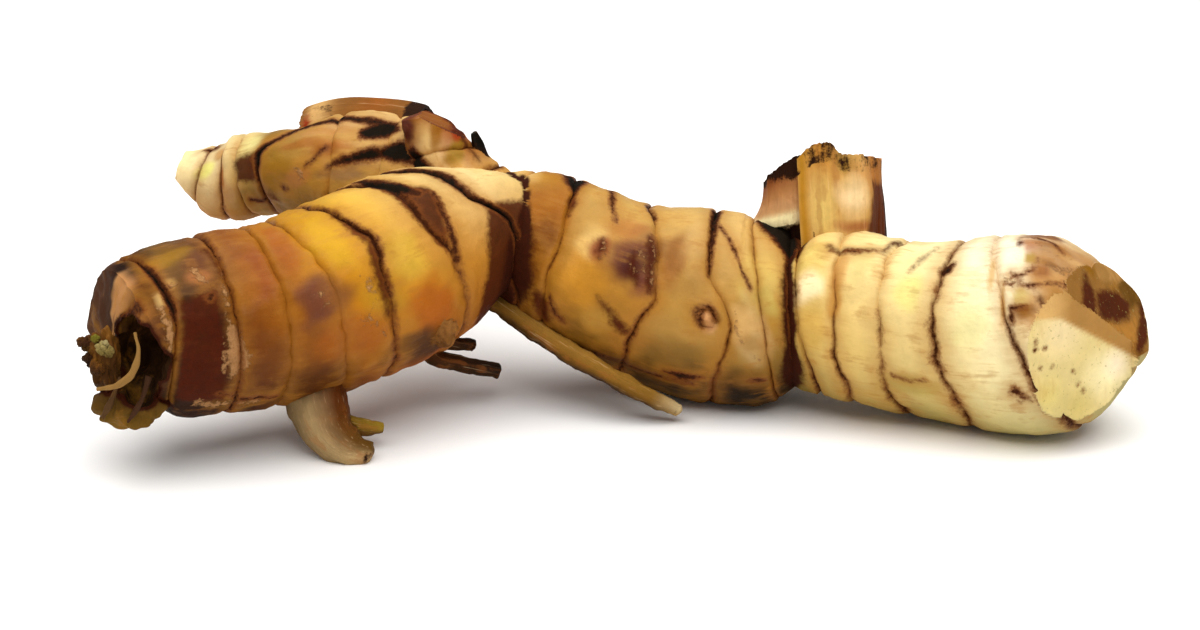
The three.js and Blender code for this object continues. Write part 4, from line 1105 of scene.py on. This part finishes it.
crumbs = [
    lump("crumb", place, (size, size, size), colours, 0.9)
    for place, size, colours in [
        ((-81.6, -41.0, 24.2), 1.0, ((146, 130, 80), (104, 86, 40))),
        ((-80.5, -41.1, 23.6), 0.9, ((132, 114, 64), (84, 66, 30))),
        ((-81.0, -41.2, 24.9), 0.6, ((150, 136, 92), (104, 86, 40))),
        ((-82.8, -40.0, 25.4), 0.7, ((112, 104, 34), (74, 60, 20))),
        ((-84.8, -38.2, 23.9), 1.2, ((64, 36, 18), SOOT)),
        ((-84.1, -38.6, 21.2), 1.2, ((48, 26, 12), SOOT)),
        ((-82.6, -40.4, 20.4), 1.1, ((74, 44, 20), (40, 22, 10))),
    ]
]
fibres = [
    thread("fibre", stations, thickness, colour)
    for stations, thickness, colour in [
        ([(-76.0, -41.5, 27.0), (-75.2, -43.6, 24.2), (-76.4, -44.6, 21.0), (-79.0, -44.6, 18.9),
         (-82.3, -43.8, 18.0)], 0.27, (176, 136, 72)),
        ([(-79.0, -41, 19.0), (-80.2, -42.6, 15.8), (-82.0, -43.0, 12.6)], 0.22, (120, 84, 44)),
        ([(-74.2, -41, 19.2), (-75.4, -42.6, 15.6), (-77.6, -43.4, 12.2)], 0.22, (104, 66, 36)),
    ]
]
rotten_bits = crumbs[0]
combine(rotten_bits, "UNION", *crumbs[1:], *fibres)
rotten_bits.name = rotten_bits.data.name = "rotten_bits"
mend_seams(rotten_bits.data)
smooth(rotten_bits)
wear(rotten_bits, rhizome_skin, "rhizome_skin", "rhizome")

# Right shoot stub
# A cut shoot that stands in the back of the pale limb: a round stem in two dry, fibrous leaf sheaths,
# the inner one torn open on the left and the outer one wrapped over its front and right.

SHEATH_THICKNESS = 0.9


def leaf_sheet(name, limb, stations, angles, lift, thickness, torn, cells, tint_of):
    """A thin leaf that wraps part of a limb, lifted off its skin, with a torn far edge.

    lift, torn and tint_of take the shares along the leaf and round it, from 0 to 1.
    """
    piece, along, round_it = new_grid(name, *cells)
    u = stations[0] + (stations[1] - torn(round_it) - stations[0]) * along
    degrees = angles[0] + (angles[1] - angles[0]) * round_it
    wide = abs(angles[1] - angles[0]) / 7
    long = limb.length_to(stations[1]) - limb.length_to(stations[0])
    grain = np.c_[round_it * wide, np.zeros(len(u)), along * long]
    veins = 0.16 * grain_at(grain * (1, 1, 0.1), 0.7, 2.2) + 0.5 * grain_at(grain * (1, 1, 0.35), 4.0, 5.1)
    places = limb.skin(u, degrees, lift(along, round_it) + thickness / 2 + veins)
    put(piece, places)
    tint, ink, maroon = tint_of(np.c_[along * long, round_it * wide], along, round_it)
    add_values(piece.data, tint, grain, ink=ink, maroon=maroon)
    pick(piece)
    bpy.ops.object.modifier_add(type="SOLIDIFY")
    piece.modifiers[-1].thickness, piece.modifiers[-1].offset = thickness * MM, 0
    bpy.ops.object.modifier_apply(modifier=piece.modifiers[-1].name)
    turn_outwards(piece)
    smooth(piece, 60)
    return piece


def ragged(share, size, depth, seed=0.0):
    """A torn edge: how far it falls short at each share of its length, in long and short waves."""
    line = np.c_[share * 20, np.zeros((len(share), 2))]
    return depth * (0.5 + 0.5 * grain_at(line, size, seed) + 0.35 * grain_at(line, size / 4, seed + 3))


def dry_finish(name, vein_size=0.45, gloss=0.55):
    """Dry plant matter: veined lengthwise, mottled brown, with dark torn margins."""
    dry = Finish(name, **WARM_GLEAM)
    place = dry.place()
    along = dry.value("grain", "Vector")
    patchy = dry.noise(place, 2.6, 4.0)
    fine = dry.noise(place, 0.5, 4.0, 0.65)
    veins = dry.noise(dry.stretched(along, (1, 1, 0.05)), vein_size, 3.0, 0.6)
    wide_veins = dry.noise(dry.stretched(along, (1, 1, 0.04)), vein_size * 3.2, 2.0)
    ink = dry.step(dry.value("ink") + (patchy - 0.5) * 2.4 + (fine - 0.5) * 1.2 + (veins - 0.5), -0.2, 0.5)
    maroon = dry.step(dry.value("maroon") + (patchy - 0.5) * 1.6 + (veins - 0.5) * 1.4, -0.5, 0.7)
    tint = dry.shade(dry.value("tint", "Color"), 0.5 + patchy * 0.5 + veins * 0.28 + fine * 0.18)
    tint = dry.mix(dry.step(wide_veins + (patchy - 0.5) * 0.8, 0.55, 0.75) * 0.4, tint, (140, 80, 34))
    tint = dry.mix(dry.step(veins, 0.6, 0.72) * 0.22, tint, (236, 200, 152))
    tint = dry.mix(maroon * 0.92, tint, dry.mix(fine, (52, 14, 6), (96, 36, 14)))
    tint = dry.mix(ink, tint, dry.mix(fine, (13, 7, 5), (50, 22, 12)))
    dry.give(base_color=tint, roughness=gloss + fine * 0.2 + ink * 0.1)
    dry.bump(veins * 0.8 + wide_veins * 0.7 + fine * 0.25, 0.35, 0.9)
    return dry.material


dry_leaf = dry_finish("dry_leaf")

cut_shoot = Limb([
    [41.4, 3, 22, 7.8, 6.4], [41, 4, 30, 7.8, 6.4], [40.4, 5.4, 37.5, 7.8, 6.4], [39.7, 7, 46.5, 7.8, 6.4],
], upright=True)

stem = grow_limb("shoot_stem", cut_shoot, [{0: 0}, {0: 1.9}], sides=72, inks=[], lumps=0.3, step=0.8, bands=[
    [0, STRAW, OCHRE, OCHRE], [1.9, (196, 146, 84), (206, 158, 92), (170, 112, 58)],
], ink=[
    (0.3, [(-100, 1.88), (0, 1.86), (100, 1.88), (200, 1.85)]),
])
smooth(stem)
wear(stem, dry_leaf, "dry_leaf", "right_shoot_stem")


def hump(share, centre, half_width):
    """1 at the centre, and soon 0 past the half-width."""
    return np.exp(-(((share - centre) / half_width) ** 2))


def inner_tint(_, along, r):
    """Tan, browner to its top, with a pale band over the gap and burnt edges."""
    tint = np.tile(linear((196, 140, 84)), (len(along), 1))
    tint = blend(tint, hump(along, 0.62, 0.1) * 0.8, (196, 146, 98))
    tint = blend(tint, (along - 0.66) * 4, (132, 72, 34))
    tint = blend(tint, 1.3 * hump(along, 0.46, 0.07), (238, 220, 166))
    burnt = np.clip((r - 0.5) / 0.4, 0, 1)
    return tint, np.maximum((along - 1.04 + 0.22 * burnt) * 16, (0.4 - along) * 18), OUTSIDE


def inner_lift(along, r):
    """Free of the stem on its left, where its torn lower edge flares out over a dark gap."""
    flare = np.where(along > 0.42, 4.2 * np.exp(-((along - 0.42) / 0.25)), 0)
    return 0.35 + (2.4 * np.clip((along - 0.3) * 6, 0.2, 1) + flare) * np.sin(math.pi * r) ** 1.5


inner_sheath = leaf_sheet(
    "shoot_inner_sheath", cut_shoot, (0.35, 2.75), (-131.8, 69.9), inner_lift, SHEATH_THICKNESS,
    lambda r: np.clip(2.2 * (0.9 - r), 0, 0.6) + ragged(r, 1.2, 0.12), (90, 130), inner_tint,
)
wear(inner_sheath, dry_leaf, "dry_leaf", "right_shoot_inner_sheath")


def outer_tint(at, along, r):
    """Tan with paler and browner blotches, one of them a painted highlight, browner and dark red on its
    right, partly as painted shade, and scorched specks along its torn edge.

    A blotch is colour, strength, (share round, share along), (its half-widths in the same shares).
    """
    tint = np.tile(linear((206, 160, 90)), (len(along), 1))
    wander = 0.25 * grain_at(np.c_[at, np.zeros(len(at))], 3.0, 8.8)
    for colour, share, centre, size in [
        ((186, 128, 52), 0.9, (0.12, 0.97), (0.09, 0.3)), ((220, 186, 104), 0.8, (0.11, 0.45), (0.06, 0.3)),
        ((150, 108, 40), 0.8, (0.24, 0.92), (0.06, 0.08)),
        ((208, 150, 84), 0.7, (0.42, 0.85), (0.12, 0.14)),
        # This pale peach blotch is a painted highlight.
        ((242, 210, 156), 0.9, (0.29, 0.62), (0.08, 0.16)),
        ((172, 112, 64), 0.9, (0.31, 0.35), (0.12, 0.05)), ((224, 190, 120), 0.8, (0.2, 0.2), (0.16, 0.08)),
    ]:
        near = np.hypot((r - centre[0]) / size[0], (along - centre[1]) / size[1]) + wander
        tint = blend(tint, share * (1.5 - near), colour)
    tint = blend(tint, 1.2 - np.abs(r - 0.02) * 34, (176, 122, 34))
    # Browner towards its right: partly its own colour, partly painted shade of the side turned from the
    # light.
    tint = blend(tint, np.clip((r - 0.36) * 9, 0, 0.9), (170, 106, 46))
    tint = blend(tint, (r - 0.7) * 6, (132, 74, 34))
    fringe = np.maximum((along - 1.0) * 60 - 3.2 + (r < 0.07) * 1.8, 0.6 - np.abs(r - 0.055) * 90 - along)
    scorched = np.maximum(fringe, (r - 0.57) * 16 * (along < 0.86) * (r < 0.68))
    return tint, scorched, np.minimum((r - 0.33 - 0.12 * along) * 26, (0.8 - along) * 12)


def outer_torn(r):
    """Its top edge: a peak on its left, from where it slopes down to its right."""
    left = 0.26 * np.clip(1 - r / 0.08, 0, 1)
    right = 0.2 * np.clip((r - 0.18) / 0.04, 0, 1) + 0.7 * np.maximum(0, r - 0.2)
    return left + right + ragged(r, 1.1, 0.1, 4.0)


def outer_lift(along, r):
    """Close to the stem on the right, and clear of the inner sheath at both of its edges."""
    close = np.clip((r - 0.25) / 0.25, 0, 1) * np.clip((0.9 - r) / 0.15, 0, 1)
    swell = 0.9 * hump(along, 0.62, 0.3) * np.sin(math.pi * r) * (1 - close)
    return 2.3 + swell - 1.1 * close + 1.5 * hump(r, 0, 0.05) * (1 - along * 0.4)


outer_sheath = leaf_sheet(
    "shoot_outer_sheath", cut_shoot, (0.35, 3), (61.9, 234.9), outer_lift, SHEATH_THICKNESS, outer_torn,
    (80, 170), outer_tint,
)
wear(outer_sheath, dry_leaf, "dry_leaf", "right_shoot_outer_sheath")

# Rear scale leaf
# A dried scale leaf, thin as paper, that still wraps the top and back of the rear limb.
# Its base is grown into the skin and blackened, and its far end is torn.

SCALE_THICKNESS = 0.7


def scale_tint(_, along, r):
    """Brown with a pale and a rusty band near its torn end, and a dark line along its middle."""
    tint = np.tile(linear((122, 76, 30)), (len(along), 1))
    tint = blend(tint, 1.2 * hump(along, 0.78, 0.13), (196, 152, 92))
    tint = blend(tint, hump(along, 0.3, 0.12), (132, 74, 24))
    tint = blend(tint, 1.2 - np.hypot((along - 0.9) / 0.08, (r - 0.95) / 0.14), (136, 46, 16))
    dark_line = (0.5 - np.abs(r - 0.5) * 22) * (along < 0.6)
    return tint, np.maximum((0.1 - along) * 24, dark_line - 0.2), OUTSIDE


def scale_lift(_, r):
    """Free of the skin between two edges that dip into it."""
    return -1.6 + 4.2 * np.minimum(1, 1.6 * (1 - np.abs(2 * r - 1)))


scale_leaf = leaf_sheet(
    "rear_scale", rear_limb, (1.15, 3.15), (-77.3, -2.9), scale_lift, SCALE_THICKNESS,
    lambda r: ragged(r, 1.4, 0.16, 8.0), (110, 80), scale_tint,
)
wear(scale_leaf, dry_leaf, "dry_leaf", "rear_scale_leaf")

# Roots
# Tough fibrous roots with a ridged brown bark, cut or broken short, rooted in the underside of the body.
# The front root forks, and with the rear one it holds the body up on its thick limbs.


def ridges(limb, depth, size):
    """Bark that runs in ridges along a root, a few times longer than they're wide."""
    def bulge(u, degrees):
        angle = np.radians(degrees)
        girth = smooth_curve(limb.widths, u, False).mean(-1)
        grain = np.c_[girth * np.cos(angle), girth * np.sin(angle), limb.length_to(u) * 0.12]
        return depth * grain_at(grain, size, 6.1) + depth * 0.6 * grain_at(grain * (1, 1, 6), size * 0.8, 1.3)
    return bulge


def root(name, stations, bands, upright=False, sides=40, depth=0.35, size=0.9):
    limb = Limb(stations, upright)
    dark_tip = limb.count - 0.08
    piece = grow_limb(
        name, limb, rings=[{0: 0}, {0: limb.count}], sides=sides, inks=[], bands=bands, lumps=0, step=0.5,
        end_rows=6, bulge=ridges(limb, depth, size), ink=[(0.1, [(60, dark_tip), (120, dark_tip)])],
    )
    smooth(piece, 60)
    return piece


root_bark = dry_finish("root_bark", 0.35, 0.5)
DARK_ROOT, OLIVE_ROOT, PALE_ROOT = (92, 56, 20), (138, 98, 34), (196, 160, 92)

front_root = root("front_root_bark", [
    [-49, -22, 14, 4.6, 4], [-48, -26.5, 8.6, 4.8, 4], [-46, -29.2, 4.6, 4.2, 3.4],
    [-42.5, -30.8, 2.2, 3.2, 2.6], [-39, -31.4, 1.6, 1.6, 1.4],
], [
    [0, DARK_ROOT, DARK_ROOT, UMBER],
    [1.2, (140, 108, 60), (196, 166, 112), UMBER],
    [4, (190, 158, 98), (206, 176, 120), OLIVE_ROOT],
], upright=True, sides=56, depth=0.6, size=1.6)
front_prong = root("front_prong", [
    [-47, -27, 8, 2.4], [-43.5, -28, 5.6, 1.6], [-40, -27, 4.2, 1.2], [-37.3, -26, 3.8, 0.6],
], [[0, OLIVE_ROOT, OLIVE_ROOT, UMBER], [3, (182, 150, 52), (182, 150, 52), OLIVE_ROOT]])
combine(front_root, "UNION", front_prong)
combine(front_root, "DIFFERENCE", table_block())
mend_seams(front_root.data)
wear(front_root, root_bark, "root_bark", "front_root")

long_root = root("long_root_bark", [
    [-22, 0, 21.5, 1.7], [-17.5, -3.5, 18.2, 1.7], [-10.6, -8, 14.6, 1.6], [-5.3, -10.8, 11.9, 1.5],
    [0.5, -13.2, 9.2, 1.4], [8.8, -14.6, 5, 1.2], [13.7, -14.4, 2.6, 0.9],
], [
    [0, OLIVE_ROOT, OLIVE_ROOT, DARK_ROOT],
    [2, (190, 146, 66), (168, 122, 44), DARK_ROOT],
    [5, (184, 142, 60), (160, 116, 42), DARK_ROOT],
    [6, (226, 204, 152), (214, 190, 138), PALE_ROOT],
], depth=0.25)
wear(long_root, root_bark, "root_bark", "long_root")

rear_root = root("rear_root_bark", [
    [16.5, 6.5, 9.5, 2.6], [15, 11, 6, 2.8], [13.4, 14.8, 2.8, 2.9], [12.2, 17.8, 1.2, 1.8],
], [[0, DARK_ROOT, DARK_ROOT, UMBER], [3, OLIVE_ROOT, OLIVE_ROOT, UMBER]])
combine(rear_root, "DIFFERENCE", table_block())
mend_seams(rear_root.data)
wear(rear_root, root_bark, "root_bark", "rear_root")

for name, node, stations in [
    ("upper_rootlet_bark", "upper_rootlet", [
        [-29, -9, 14.6, 1.1], [-26, -8, 12.8, 1.1], [-22.6, -6, 11.4, 1],
    ]),
    ("lower_rootlet_bark", "lower_rootlet", [
        [-31, -10.4, 13.6, 1.3], [-29.5, -9.6, 10.8, 1.3], [-25, -8, 8.8, 1.2], [-18.1, -6, 6.6, 1.1],
    ]),
]:
    bands = [[0, UMBER, UMBER, DARK_ROOT], [len(stations) - 1, (78, 54, 34), (72, 48, 30), DARK_ROOT]]
    rootlet = root(name, stations, bands, sides=24)
    wear(rootlet, root_bark, "root_bark", node)

# Table and light
# A plain white table under soft light from above, as for a picture of food.

deselect_all()
bpy.ops.mesh.primitive_plane_add(size=6)
table = bpy.context.object
table.name = "table_top"
white = Finish("white_board", roughness=0.7, base_color=(0.96, 0.955, 0.95, 1))
table.data.materials.append(white.material)


def soft_light(name, place, target, size, power, colour):
    deselect_all()
    bpy.ops.object.light_add(type="AREA", location=place)
    light = bpy.context.object
    light.name = name
    light.data.shape, light.data.size = "DISK", size
    light.data.energy, light.data.color = power, colour
    light.rotation_euler = (Vector(target) - Vector(place)).to_track_quat("-Z", "Y").to_euler()


soft_light("overhead_light", (-0.02, -0.1, 0.9), (0, 0, 0), 1.7, 19.0, (1, 0.99, 0.97))
soft_light("front_light", (0.1, -0.6, 0.6), (0, 0, 0.02), 0.2, 0.5, (1, 0.98, 0.95))

world = bpy.data.worlds.new("white_room")
world.use_nodes = True
sky = world.node_tree.nodes["Background"].inputs
sky["Color"].default_value, sky["Strength"].default_value = (1, 1, 1, 1), 0.32
bpy.context.scene.world = world
bpy.context.scene.view_settings.view_transform = "Standard"

# Camera
# A long lens, a little above the table, as the picture was taken.

CAMERA_RISE = math.radians(20)
CAMERA_AWAY = 506 * MM
looked_at = Vector((0, 0, 0.015)) - Vector(FOOTPRINT_CENTRE) * MM
deselect_all()
bpy.ops.object.camera_add(
    location=looked_at + CAMERA_AWAY * Vector((0, -math.cos(CAMERA_RISE), math.sin(CAMERA_RISE))),
    rotation=(math.pi / 2 - CAMERA_RISE, 0, 0),
)
camera = bpy.context.object
camera.data.lens, camera.data.sensor_width = 85, 36
bpy.context.scene.camera = camera
